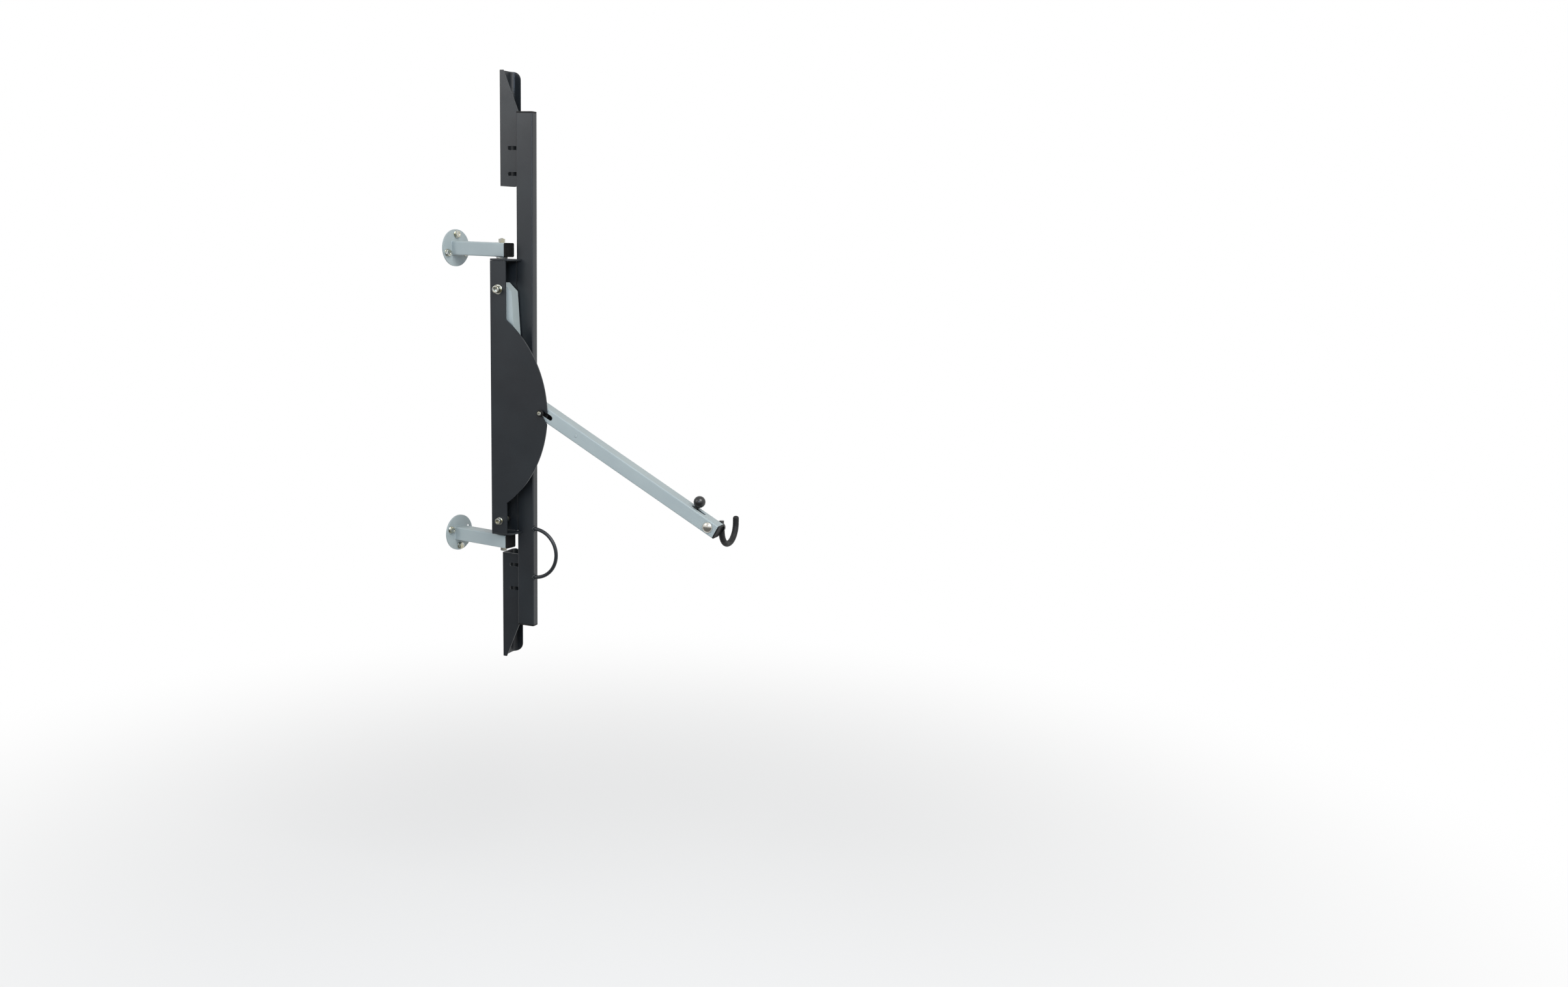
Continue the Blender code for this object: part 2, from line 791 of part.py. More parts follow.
def trough(name, inner, outer, rail_end, wing_corner):
    """A folded wheel trough: a deep near wing on the rail, a back, and a short far wing."""
    side = 1 if outer > inner else -1
    near = rail_far + gap
    far = near + trough_sheet + trough_width + trough_sheet
    back = trough_back
    thick = trough_sheet
    bend = trough_bend
    profile = rounded([
        (near_wing_reach, near),
        (near_wing_reach, near + thick),
        (back + thick, near + thick, bend - thick * 0.8),
        (back + thick, far - thick, bend - thick * 0.8),
        (back + far_wing_depth, far - thick),
        (back + far_wing_depth, far),
        (back, far, bend),
        (back, near, bend),
    ], 3)
    made = piece(name, stepped([at_z(profile, inner), at_z(profile, outer)]), dark_powder, swivel)
    tip = back + near_wing_tip
    shelf = rail_end - side * near_wing_setback
    knee = tip + abs(outer - shelf) / math.tan(near_wing_slope)
    over = outer + side * 0.02
    out = near_wing_reach + 0.02
    past = 0.02 / math.tan(near_wing_slope)
    corner = [(tip - past, over), (knee, shelf), (out, shelf), (out, over)]
    tools = [sheet_metal(corner, [], near - thick, near + 2 * thick, at_y)]
    edge = back + far_wing_depth
    radius = wing_corner
    for end, way in ((outer, side), (inner, -side)):
        arc = []
        for k in range(9):
            angle = k * math.pi / 16
            arc.append((edge - radius + radius * math.sin(angle), end - way * radius * (1 - math.cos(angle))))
        past_end = end + way * 0.01
        clip = [(edge - radius, past_end), *arc, (edge + 0.01, end - way * radius), (edge + 0.01, past_end)]
        tools.append(sheet_metal(clip, [], far - 3 * thick, far + 2 * thick, at_y))
    for step in (slot_first, slot_second):
        z = inner + side * step
        half = slot_width / 2
        screw_x = rail_x + rail_width / 2
        slot = capsule((slot_start + half, z), (screw_x + 0.004, z), half)
        tools.append(sheet_metal(slot, [], near - thick, near + 2 * thick, at_y))
    cut(made, name + "_cuts", together(*tools), swivel)


def trough_screws():
    """Flanged screws in the trough slots; they hold in the rail's nut inserts."""
    seat = rail_far + gap + trough_sheet + gap
    for count, (x, z) in enumerate(trough_screw_points(), 1):
        ring = (trough_flange, trough_flange_thickness)
        screw = hex_bolt(m8_across, trough_screw_head, trough_screw, trough_screw_length, ring)
        piece(f"trough_screw_{count}", moved(screw, rotation=away_from_viewer), zinc, swivel, (x, seat, z))


def lock_loop():
    """A half ring of round bar on the rail's front edge, for a lock."""
    radius = loop_height / 2
    level = far_inner + rail_corner + loop_bar / 4
    centre = Vector((rail_x + rail_width + gap, level, rail_bottom + loop_rise))
    steps = 24
    points = []
    for k in range(steps + 1):
        angle = math.pi / 2 - math.pi * k / steps
        points.append(centre + Vector((radius * math.cos(angle), 0, radius * math.sin(angle))))
    normals = [Vector((0, 1, 0))] * len(points)
    piece("lock_loop", stepped(swept(points, normals, loop_bar / 2)), dark_powder, swivel)


def channel_outline(inset=0.0, open_by=0.0):
    """The arm channel's side outline, from the pivot: inset for its inside, open_by past its open side."""
    lean = math.tan(channel_lean)
    shoulder = channel_depth - channel_shoulder
    drop = channel_head - channel_chamfer_drop
    slope = math.hypot(channel_chamfer, channel_chamfer_drop)
    face = inset / math.cos(channel_lean)
    top = channel_head - inset
    chamfer = inset * slope / channel_chamfer
    level = channel_head - chamfer
    flat = shoulder - channel_chamfer
    grade = channel_chamfer_drop / channel_chamfer
    bottom = drop - channel_length - open_by

    def right(z):
        return shoulder - face + (drop - z) * lean

    top_x = flat + (level - top) / grade
    low_x = (level + flat * grade - drop + (shoulder - face) / lean) / (grade + 1 / lean)
    low_z = drop - (low_x - (shoulder - face)) / lean
    left = -channel_shoulder - open_by
    corner = 0.0 if open_by else channel_shoulder * 0.9
    return rounded([
        (left + (drop - bottom) * lean, bottom),
        (right(bottom), bottom),
        (low_x, low_z),
        (top_x, top),
        (left, top, corner),
        (left, drop),
    ], 6)


def arm_channel():
    """The folded channel that hangs on the pivot; it is open towards the wall and below."""
    half = channel_width / 2
    made = piece("arm_channel", sheet_metal(channel_outline(), [], -half, half, at_y), light_paint, arm)
    inside = half - channel_sheet
    hollow = sheet_metal(channel_outline(channel_sheet, 0.03), [], -inside, inside, at_y)
    cut(made, "channel_hollow", hollow, arm)
    bore = turned([
        (pivot_bush / 2 + gap, -channel_width),
        (pivot_bush / 2 + gap, channel_width),
    ], at_y, 24)
    cut(made, "pivot_bore", bore, arm)
    heads = []
    for way in (-1, 1):
        heads.append(turned([
            (spring_pin_head / 2, way * (half - channel_sheet / 2)),
            (spring_pin_head / 2, way * (half + 0.0018)),
            (spring_pin_head / 2 - 0.0007, way * (half + 0.0025)),
        ], at_y, 16, (spring_foot.x, spring_foot.z)))
    weld(made, "pin_rivets", together(*heads), arm)


def lift_tube():
    """The square tube from the knee to the hook, with the latch slots."""
    corner = square_tube_corner
    outer = rectangle(square_tube, square_tube, corner)
    inner_size = square_tube - 2 * square_tube_wall
    inner = rectangle(inner_size, inner_size, corner - square_tube_wall)
    start_point = Vector((channel_depth - channel_shoulder, channel_head - channel_chamfer_drop))
    web = Vector((math.cos(channel_lean), math.sin(channel_lean)))
    along = Vector((math.cos(tube_angle), -math.sin(tube_angle)))
    across = Vector((math.sin(tube_angle), math.cos(tube_angle)))

    def knee(outline):
        points = []
        for y, n in outline:
            reach = (start_point - across * (n - tube_offset)).dot(web) + gap
            points.append(Vector((reach / along.dot(web), y, n)))
        return points

    rings = [knee(outer), at_x(outer, tube_end), at_x(inner, tube_end), knee(inner)]
    made = piece("lift_tube", stepped(rings, closed=True), light_paint, tube)
    half = square_tube / 2
    pin_half = latch_pin / 2 + gap
    pin_slot = capsule((latch_pin_at, 0), (latch_pin_at + latch_travel + 0.001, 0), pin_half)
    stem_half = knob_stem / 2 + gap
    knob_slot = capsule((knob_at - 0.0055, 0), (knob_at + latch_travel + gap, 0), stem_half)
    rivet = stop_rivet / 2 + gap
    bolt = hook_bolt / 2 + gap
    tools = [
        sheet_metal(pin_slot, [], -half - 0.003, -half + 0.006, at_y),
        sheet_metal(knob_slot, [], half - 0.006, half + 0.003, at_z),
        turned([(bolt, -half - 0.003), (bolt, half + 0.003)], at_y, 16, (hook_at(), 0)),
        turned([(rivet, -half - 0.003), (rivet, -half + 0.006)], at_y, 12, (stop_at, 0)),
    ]
    cut(made, "tube_slots", together(*tools), tube)
    cap = end_cap(square_tube, square_tube, corner, square_tube_wall, at_x, tube_end, 1)
    piece("arm_end_cap", cap, black_plastic, tube)


def hook_at():
    """Place of the hook's bolt along the tube."""
    return tube_end - hook_bolt_inset


def hook_path():
    """The middle line of the hook bar: down behind the arm, under the rim, and up on the far side."""
    near = square_tube / 2 + gap + hook_lug_sheet + hook_bar / 2 - hook_weld
    bend = hook_roundness * hook_span / 2
    flat = rounded([
        (near, hook_rise),
        (near, -hook_drop, bend),
        (near + hook_span, -hook_drop, bend),
        (near + hook_span, -hook_drop + hook_tip_rise),
    ], 8, closed=False)
    return [Vector((hook_side, y, z)) for y, z in flat]


def beyond(points, length):
    """The rest of a path, from a length along it."""
    for i in range(1, len(points)):
        step = (points[i] - points[i - 1]).length
        if step > length:
            return [points[i - 1].lerp(points[i], length / step), *points[i:]]
        length -= step
    raise ValueError("the path is shorter than that")


def hook_pieces():
    """Lug, bar, rubber sleeve and fasteners of the hook."""
    half = square_tube / 2
    lug_near = half + gap
    lug_far = lug_near + hook_lug_sheet
    hole = circle(hook_bolt / 2 + gap, 16)
    outline = capsule((0, 0), (hook_side, -hook_lug_drop), hook_lug_radius, 8)
    lug = sheet_metal(outline, [hole], lug_near, lug_far, at_y)
    made = piece("hook", lug, black_enamel, hook)
    path = hook_path()
    normals = [Vector((1, 0, 0))] * len(path)
    weld(made, "hook_bar", stepped(swept(path, normals, hook_bar / 2)), hook)
    covered = beyond(path, hook_rise + hook_lug_drop + hook_lug_radius + 2 * gap)
    end = path[-1]
    inner = hook_bar / 2 + gap
    outer = inner + hook_sleeve
    tip = [*covered[:-1], end + Vector((0, 0, gap))]
    sides = 12
    inside = swept(tip, normals, inner, sides)
    outside = swept(tip, normals, outer, sides)
    dome = []
    for angle in (0.35, 0.8, 1.2):
        lift = end + Vector((0, 0, gap + outer * 0.5 * math.sin(angle)))
        dome.append(swept([lift - Vector((0, 0, 0.001)), lift], normals, outer * math.cos(angle), sides)[1])
    piece("hook_sleeve", stepped([*reversed(inside), *outside, *dome]), black_rubber, hook)
    far = lug_far + gap
    shank = square_tube + 3 * gap + hook_lug_sheet + small_washer_thickness + m8_nut + thread_end
    crown = hook_dome_height - hook_dome_rim
    dome_bolt = stepped([
        at_z(circle(hook_bolt / 2, 20), -shank),
        at_z(circle(hook_bolt / 2, 20), 0),
        at_z(circle(hook_dome / 2, 20), 0),
        at_z(circle(hook_dome / 2, 20), hook_dome_rim),
        *[
            at_z(circle(hook_dome / 2 * math.cos(a), 20), hook_dome_rim + crown * math.sin(a))
            for a in (math.radians(25), math.radians(48), math.radians(68), math.radians(80))
        ],
    ])
    piece("hook_bolt", moved(dome_bolt, (0, -half - gap, 0), towards_viewer), polished, hook)
    nut = hex_nut(m8_across, m8_nut, hook_bolt + 2 * gap, (small_washer, small_washer_thickness))
    piece("hook_nut", moved(nut, (0, far, 0), away_from_viewer), zinc, hook)


def latch_parts():
    """The sliding latch: pin and slider at the plate, rod in the tube, and the pull knob."""
    inside = square_tube - 2 * square_tube_wall
    size = inside - 2 * block_play
    hole = circle(latch_rod / 2 + gap, 16)
    outline = rectangle(size, size, 0.002, 2)
    half = block_length / 2
    knob_x = knob_at - latch_pin_at
    slider_mesh = sheet_metal(outline, [hole], -half, half, at_x)
    slider = piece("latch_slider", slider_mesh, black_plastic, latch)
    screw_end = size / 2 - 0.0075
    screw_bore = turned([
        (latch_screw / 2 + gap, -size / 2 - 0.002),
        (latch_screw / 2 + gap, -screw_end),
    ], at_y, 12)
    cut(slider, "slider_bore", screw_bore, latch)
    block_mesh = sheet_metal(outline, [hole], knob_x - half + 0.003, knob_x + half - 0.003, at_x)
    block = piece("knob_block", block_mesh, black_plastic, latch)
    stem_end = latch_rod / 2 + 3 * gap
    stem_bore = turned([
        (knob_stem / 2 + gap, stem_end),
        (knob_stem / 2 + gap, size / 2 + 0.002),
    ], at_z, 16, (knob_x, 0))
    cut(block, "block_bore", stem_bore, latch)
    rod_line = turned([
        (latch_rod / 2, -half + 0.004),
        (latch_rod / 2, knob_x + half - 0.006),
    ], at_x, 12)
    piece("latch_rod", rod_line, zinc, latch)
    plate_out = -(housing_gap / 2 + sheet)
    head_in = plate_out - latch_stand
    head_out = head_in - latch_head_thickness
    bore = latch_screw / 2 + gap
    pin = turned([
        (bore, -size / 2 - gap),
        (latch_pin / 2, -size / 2 - gap),
        (latch_pin / 2, head_in + 0.0015),
        (latch_head / 2, head_in),
        (latch_head / 2, head_out + 0.0010),
        (latch_head / 2 - 0.0010, head_out),
        (bore, head_out),
    ], at_y, 20, closed=True)
    piece("latch_pin", pin, black_plastic, latch)
    length = -head_out - gap - screw_end - gap
    head = (latch_screw_head, latch_screw_head_height)
    screw = socket_bolt(*head, latch_screw, length, latch_screw_socket, sides=16)
    piece("latch_screw", moved(screw, (0, head_out - gap, 0), towards_viewer), zinc, latch)
    radius = knob_diameter / 2
    neck = knob_rise - radius
    profile = [(knob_stem / 2, stem_end + gap), (knob_stem / 2, neck - 0.0010), (0.0060, neck + 0.0006)]
    for k in range(3, 10):
        angle = -math.pi / 2 + math.pi * k / 10
        profile.append((radius * math.cos(angle), knob_rise + radius * math.sin(angle)))
    profile.append((0.0012, knob_rise + radius))
    piece("pull_knob", turned(profile, at_z, 20, (knob_x, 0)), black_plastic, latch)
    stop_x = stop_at - latch_pin_at
    block_size = inside - 2 * gap
    block_outline = rectangle(block_size, block_size, square_tube_corner - square_tube_wall, 2)
    stop_near = stop_x - stop_length / 2
    stop_mesh = sheet_metal(block_outline, [hole], stop_near, stop_x + stop_length / 2, at_x)
    stop = piece("spring_stop", stop_mesh, black_plastic, latch)
    stop.parent = tube
    stop.location = (latch_pin_at, 0, 0)
    rivet_end = -block_size / 2 + 0.006
    rivet_hole = stop_rivet / 2 + gap
    rivet_start = -block_size / 2 - 0.002
    rivet_bore = turned([(rivet_hole, rivet_start), (rivet_hole, rivet_end)], at_y, 12, (stop_at, 0))
    cut(stop, "stop_bore", rivet_bore, tube)
    outside = -square_tube / 2
    rivet = turned([
        (stop_rivet / 2, rivet_end - gap),
        (stop_rivet / 2, outside - gap),
        (stop_rivet_head / 2, outside - gap),
        (stop_rivet_head / 2 - 0.0004, outside - 0.0007),
        (stop_rivet_head / 4, outside - 0.0011),
    ], at_y, 16, (stop_at, 0))
    piece("stop_rivet", rivet, light_paint, tube)
    coil(half + gap, stop_near - gap)


def coil(first, last):
    """The latch's return spring, between the slider and the stop."""
    radius = latch_spring_diameter / 2 - latch_spring_wire / 2
    wire = latch_spring_wire / 2
    steps = 8
    count = latch_spring_turns * steps
    points = []
    normals = []
    for k in range(count + 1):
        angle = 2 * math.pi * k / steps
        spoke = Vector((0, math.cos(angle), math.sin(angle)))
        x = first + wire + (last - first - 2 * wire) * k / count
        points.append(Vector((x, 0, 0)) + spoke * radius)
        normals.append(spoke)
    piece("latch_spring", stepped(swept(points, normals, wire, 6)), spring_steel, latch)


def eye(name, hole, parent, way):
    """An eye fitting on the gas spring's end: a ring across, and a socketed shank along the spring."""
    ring = turned([
        (hole / 2, -eye_width / 2),
        (eye_diameter / 2, -eye_width / 2),
        (eye_diameter / 2, eye_width / 2),
        (hole / 2, eye_width / 2),
    ], at_y, 20, closed=True)
    made = piece(name, ring, zinc, parent)
    start = way * (hole / 2 + eye_clear)
    end = way * (eye_to_body - gap)
    width = eye_width / 2 - gap
    shank = turned([(width, start), (width, end)], at_z, 16)
    weld(made, name + "_shank", shank, parent)
    socket = turned([
        (piston_rod / 2 + gap, way * (eye_diameter / 2 + eye_clear)),
        (piston_rod / 2 + gap, way * (eye_to_body + 0.002)),
    ], at_z, 16)
    cut(made, name + "_socket", socket, parent)


def gas_spring():
    """The gas spring: its rod stands on the anchor bolt, its cylinder hangs on the arm's pin."""
    eye("rod_eye", anchor_bolt + 2 * gap, rod, 1)
    eye("cylinder_eye", spring_pin + 2 * gap, cylinder, -1)
    body = cylinder_diameter / 2
    bore = body - cylinder_wall
    stud = piston_rod / 2
    low = eye_diameter / 2 + eye_clear + gap
    top = -eye_to_body
    bottom = top - cylinder_length
    shell = turned([
        (bore, top - cylinder_cap),
        (bore, bottom + gland_length),
        (stud + gap, bottom + gland_length),
        (stud + gap, bottom),
        (body - 0.0025, bottom),
        (body, bottom + 0.0025),
        (body, top - 0.0030),
        (body - 0.0025, top),
        (stud, top),
        (stud, -low),
    ], at_z, 20)
    piece("gas_cylinder", shell, black_enamel, cylinder)
    piston_top = spring_rest - eye_to_body - cylinder_cap - piston_room
    line = turned([
        (stud, low),
        (stud, piston_top - piston_length),
        (bore - gap, piston_top - piston_length),
        (bore - gap, piston_top),
    ], at_z, 20)
    piece("gas_rod", line, polished, rod)
    reach = channel_width / 2 - channel_sheet - gap
    stud = spring_pin / 2
    shoulder = eye_width / 2 + gap
    wide = spring_pin_shoulder / 2
    pin = turned([
        (wide, -reach),
        (wide, -shoulder),
        (stud, -shoulder),
        (stud, shoulder),
        (wide, shoulder),
        (wide, reach),
    ], at_y, 16)
    piece("spring_pin", pin, zinc, cylinder)


wall_bracket("upper", 0.0, 1, 3)
wall_bracket("lower", lower_arm_z, -1, 2)
swivel_joint()
side_plate()
back_cover()
end_plates()
cross_bolts()
rail()
for trough_name, wing_corner, ends in zip(
    ("upper_trough", "lower_trough"), (upper_wing_corner, lower_wing_corner), trough_ends()
):
    trough(trough_name, *ends, wing_corner)
trough_screws()
lock_loop()
arm_channel()
lift_tube()
hook_pieces()
latch_parts()
gas_spring()
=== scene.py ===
"""Looks of the wall-mounted bike lift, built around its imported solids.

Every piece is made in world metres, in the frame of the solids: +X runs along the lift, away
from the wall, +Z is up and the side plate faces -Y. Pieces that stand for a solid are made from
the solid's own places, so they stay right if the source changes.
"""

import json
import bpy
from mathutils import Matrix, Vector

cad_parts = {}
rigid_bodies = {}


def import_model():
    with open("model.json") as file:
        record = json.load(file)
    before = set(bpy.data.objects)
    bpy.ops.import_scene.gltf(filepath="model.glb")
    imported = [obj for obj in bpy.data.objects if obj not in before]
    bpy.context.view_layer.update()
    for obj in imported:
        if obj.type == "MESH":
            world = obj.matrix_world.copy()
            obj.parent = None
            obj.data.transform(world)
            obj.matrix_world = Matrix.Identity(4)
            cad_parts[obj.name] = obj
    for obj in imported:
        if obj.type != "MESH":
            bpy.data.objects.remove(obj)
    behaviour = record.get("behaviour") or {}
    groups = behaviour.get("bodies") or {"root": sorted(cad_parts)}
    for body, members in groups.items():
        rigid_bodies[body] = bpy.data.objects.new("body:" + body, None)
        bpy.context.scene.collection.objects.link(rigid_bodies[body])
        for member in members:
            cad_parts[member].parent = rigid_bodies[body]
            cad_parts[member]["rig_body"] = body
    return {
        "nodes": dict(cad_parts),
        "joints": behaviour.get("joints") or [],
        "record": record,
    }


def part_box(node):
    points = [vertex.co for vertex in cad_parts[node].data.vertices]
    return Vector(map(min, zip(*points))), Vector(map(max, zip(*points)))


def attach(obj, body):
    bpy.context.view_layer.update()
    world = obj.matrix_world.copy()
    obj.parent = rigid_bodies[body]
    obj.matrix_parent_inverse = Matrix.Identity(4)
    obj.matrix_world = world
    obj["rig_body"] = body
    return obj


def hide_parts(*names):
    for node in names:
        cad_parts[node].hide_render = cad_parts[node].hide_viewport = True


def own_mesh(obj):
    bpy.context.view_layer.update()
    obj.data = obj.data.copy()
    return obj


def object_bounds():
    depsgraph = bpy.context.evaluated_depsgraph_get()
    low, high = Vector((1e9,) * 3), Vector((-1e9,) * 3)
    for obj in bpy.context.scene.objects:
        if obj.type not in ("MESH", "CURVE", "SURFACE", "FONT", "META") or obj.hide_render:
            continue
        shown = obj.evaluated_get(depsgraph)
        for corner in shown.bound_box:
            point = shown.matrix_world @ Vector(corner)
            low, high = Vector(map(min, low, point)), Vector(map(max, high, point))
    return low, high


bl_info = {
    "name": "Wall-mounted bike lift",
    "version": (1, 0, 0),
    "blender": (4, 5, 0),
    "location": "3D View > Sidebar > Bike Lift",
    "description": "Builds the pieces, finishes and studio of a wall-mounted bike lift",
    "category": "Object",
}

from functools import cache
from math import cos, exp, hypot, inf, pi, radians, sin, sqrt, tan

import bmesh
import bpy
from bpy.props import FloatProperty, FloatVectorProperty, PointerProperty
from bpy.types import Node, NodeSocket, Operator, Panel, PropertyGroup
from mathutils import Matrix, Vector

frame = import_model()
nodes = frame["nodes"]
solid_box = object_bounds()
latch_pull = next(joint for joint in frame["joints"] if joint["name"] == "latch_pull")

UP = Vector((0, 0, 1))
OUT = Vector((1, 0, 0))
VIEWER = Vector((0, -1, 0))
WALL_NORMAL = -Vector(frame["record"]["mounts"][0]["axis"]).normalized()
TUBE_AXIS = Vector(latch_pull["axis"]).normalized()

# Faces that meet at less than this look round.
SOFT_ANGLE = radians(40)
# Points closer than this are in line.
SNAP = 1e-5
# Points around a small fastener, a larger turned piece and a knurled head.
SMALL_SIDES, FINE_SIDES, KNURL_SIDES = 48, 64, 96

# Fasteners. A washer is its width and its thickness. M8 heads, hexagon or round, are 13 mm wide.
M8, M10 = 0.008, 0.010
M8_HEAD = 0.013
M8_NUT = 0.0068
M8_WASHER = (0.016, 0.0016)
NUT_PLAY = 0.0006
POINT_CHAMFER = 0.0005
HEAD_CHAMFER = tan(radians(30))
# The bolts through the housing: head, its height, shank, socket, washer, nut, its height.
CROSS_BOLTS = {
    "pivot": (0.016, 0.010, M10, 0.008, (0.021, 0.002), 0.016, 0.009),
    "anchor": (M8_HEAD, 0.008, M8, 0.006, M8_WASHER, M8_HEAD, M8_NUT),
}

# Tubes, and the caps pressed into their ends.
SQUARE_TUBE = (0.030, 0.030)
RAIL_TUBE = (0.040, 0.020)
TUBE_CORNER = 0.003
TUBE_WALL = 0.002
CAP_THICK = 0.003
CAP_INSERT = 0.012

# The camera stands where the photograph was taken. The lamps aim at the lift's middle.
CAMERA_PLACE = Vector((1.84238, -2.74901, 0.062))
CAMERA_FORWARD = Vector((-0.351925, 0.918665, -0.179455))
CAMERA_ROLL = radians(1.654)
CAMERA_LENS = 33.32
CAMERA_SENSOR = 36
LAMP_TARGET = Vector((0.25, 0, -0.25))
FLOOR_MIDDLE = (0.4, 0)
FLOOR_RADIUS = 4.0
WHITE = (1, 1, 1, 1)

# The colour mix node has several sockets of one name, so they go by their places.
MIX_SHARE, MIX_FIRST, MIX_SECOND, MIX_RESULT = 0, 6, 7, 2


def linear(code):
    """A linear colour from an sRGB hex value."""
    shares = [int(code[i:i + 2], 16) / 255 for i in (1, 3, 5)]
    return tuple(s / 12.92 if s <= 0.04045 else ((s + 0.055) / 1.055) ** 2.4 for s in shares)


def colour(name, description, code):
    """A colour that the user can change."""
    return FloatVectorProperty(
        name=name, description=description, subtype="COLOR", size=3, min=0, max=1,
        default=linear(code),
    )


def length(name, description, metres):
    """A length that the user can change."""
    return FloatProperty(
        name=name, description=description, default=metres, unit="LENGTH", precision=5
    )


def power(name, description, watts):
    """A lamp's power that the user can change."""
    return FloatProperty(name=name, description=description, default=watts, min=0, unit="POWER")


class LiftColours(PropertyGroup):
    """Colours of the lift's finishes"""

    light_coat: colour("Light powder coat", "Wall arms and lift arm", "#A7B2B2")
    light_coat_shade: colour("Light coat, shade", "Slow drift in the light coat", "#A2ADAE")
    dark_coat: colour("Anthracite powder coat", "Plates, rail, troughs and loop", "#1D2226")
    dark_coat_shade: colour("Anthracite, shade", "Slow drift in the dark coat", "#1A1D21")
    dark_coat_fleck: colour("Anthracite, fleck", "Light flecks in the dark coat", "#262C30")
    black_moulding: colour("Black moulding", "Caps, latch pin and sliding blocks", "#0D0D0D")
    knob_black: colour("Knob black", "Ball knob", "#0B0B0C")
    black_rubber: colour("Black rubber", "Sleeve on the hook", "#0D0D0D")
    black_enamel: colour("Black enamel", "Hook bar and gas cylinder", "#101112")
    zinc: colour("Zinc plate", "Bolts, nuts and washers", "#C3C6C4")
    zinc_tint: colour("Zinc plate, tint", "Straw tint of the clear passivation", "#BDB9A2")
    bright_steel: colour("Bright steel", "Domed bolt and piston rod", "#D6D3CB")
    spring_wire: colour("Spring wire", "Latch spring", "#77787A")
    nylon: colour("Nylon", "Bushes", "#DAD7CC")


class LiftSizes(PropertyGroup):
    """Sizes of the lift's small details"""

    plate_edge: length("Plate edge", "Rounding of the plates' cut edges under the coat", 0.0005)
    tube_edge: length("Tube edge", "Rounding of the sawn tube ends", 0.0004)
    forged_edge: length("Forged edge", "Rounding of the hook and the gas spring's eyes", 0.0004)
    turned_edge: length("Turned edge", "Rounding of the bushes, spacers, rod and pin", 0.0003)
    washer_edge: length("Washer edge", "Rounding of the washers", 0.0003)
    weld_radius: length("Weld radius", "Half the width of a full weld bead", 0.0028)
    weld_ripple: length("Weld ripple", "Distance between two ripples of a weld bead", 0.0032)
    knurl: length("Knurl", "Depth of the knurl on socket heads", 0.00008)
    knob_neck: length("Knob neck", "Width of the neck under the ball knob", 0.011)
    thread_pitch: length("Thread pitch", "Pitch of the threads that show", 0.0015)
    thread_depth: length("Thread depth", "Depth of the threads that show", 0.0008)
    trough_fold: length("Trough fold", "Outside radius of the fold to a far wing", 0.012)
    cap_recess: length("Cap recess", "How deep the middle of an end cap lies", 0.0012)
    cap_rim: length("Cap rim", "Width of an end cap's raised rim", 0.0028)


class StudioSettings(PropertyGroup):
    """Light and floor of the studio"""

    sky_strength: FloatProperty(
        name="Sky", description="Plain light from all around", default=0.33, min=0
    )
    key_power: power("Key light", "Soft light at the upper right", 92)
    fill_power: power("Fill light", "Weak light at the upper left", 26)
    window_power: power("Window light", "Small cool light behind the camera", 30)
    window_colour: colour("Window colour", "Colour of the small cool light", "#C4DEFF")
    dim_front: FloatProperty(
        name="Dim front", description="How dim metal sees the room before and below the lift",
        default=0.8, min=0, max=1, subtype="FACTOR",
    )
    floor_drop: length("Floor drop", "How far the floor lies below the lift", 0.62)
    floor_colour: colour("Floor", "Plain pale floor", "#F4F4F3")


def colours():
    return bpy.context.scene.bike_lift_colours


def sizes():
    return bpy.context.scene.bike_lift_sizes


def studio():
    return bpy.context.scene.bike_lift_studio


def per_metre(millimetres):
    """A texture scale from the size of one grain."""
    return 1000 / millimetres


def shaded(tone, share):
    """A tone made lighter or darker."""
    return tuple(min(1, part * share) for part in tone)


def fill(tree, node, inputs):
    """Fills a node's inputs, each by a value, an output, or a node for its first output."""
    for name, value in inputs.items():
        if isinstance(value, Node):
            value = value.outputs[0]
        if isinstance(value, NodeSocket):
            tree.links.new(value, node.inputs[name])
        else:
            node.inputs[name].default_value = value


def add(tree, kind, inputs=None, **settings):
    """Adds a shader node with its settings, and fills its inputs."""
    node = tree.nodes.new("ShaderNode" + kind)
    for name, value in settings.items():
        setattr(node, name, value)
    fill(tree, node, inputs or {})
    return node


def new_finish(name, recipe):
    """A material whose shader is filled from a recipe for its tree and its patterns' place."""
    finish = bpy.data.materials.new(name)
    finish.use_nodes = True
    tree = finish.node_tree
    place = add(tree, "TexCoord").outputs["Object"]
    fill(tree, tree.nodes["Principled BSDF"], recipe(tree, place))
    return finish


def clouds(tree, place, patch, detail, spread):
    """Soft patches of a size in millimetres, spread over a range."""
    texture = {"Vector": place, "Scale": per_metre(patch), "Detail": detail}
    value = add(tree, "TexNoise", texture)
    return add(tree, "MapRange", {"Value": value, **spread})


def drift(tree, place, first, second, patch, detail=2.0):
    """A colour that drifts between two tones in patches of a size in millimetres."""
    tones = {
        MIX_SHARE: clouds(tree, place, patch, detail, {"From Min": 0.35, "From Max": 0.65}),
        MIX_FIRST: (*first, 1),
        MIX_SECOND: (*second, 1),
    }
    return add(tree, "Mix", tones, data_type="RGBA").outputs[MIX_RESULT]


def uneven(tree, place, low, high, patch):
    """A roughness that varies between two values in patches of a size in millimetres."""
    spread = {"From Min": 0.3, "From Max": 0.7, "To Min": low, "To Max": high}
    return clouds(tree, place, patch, 3.0, spread)


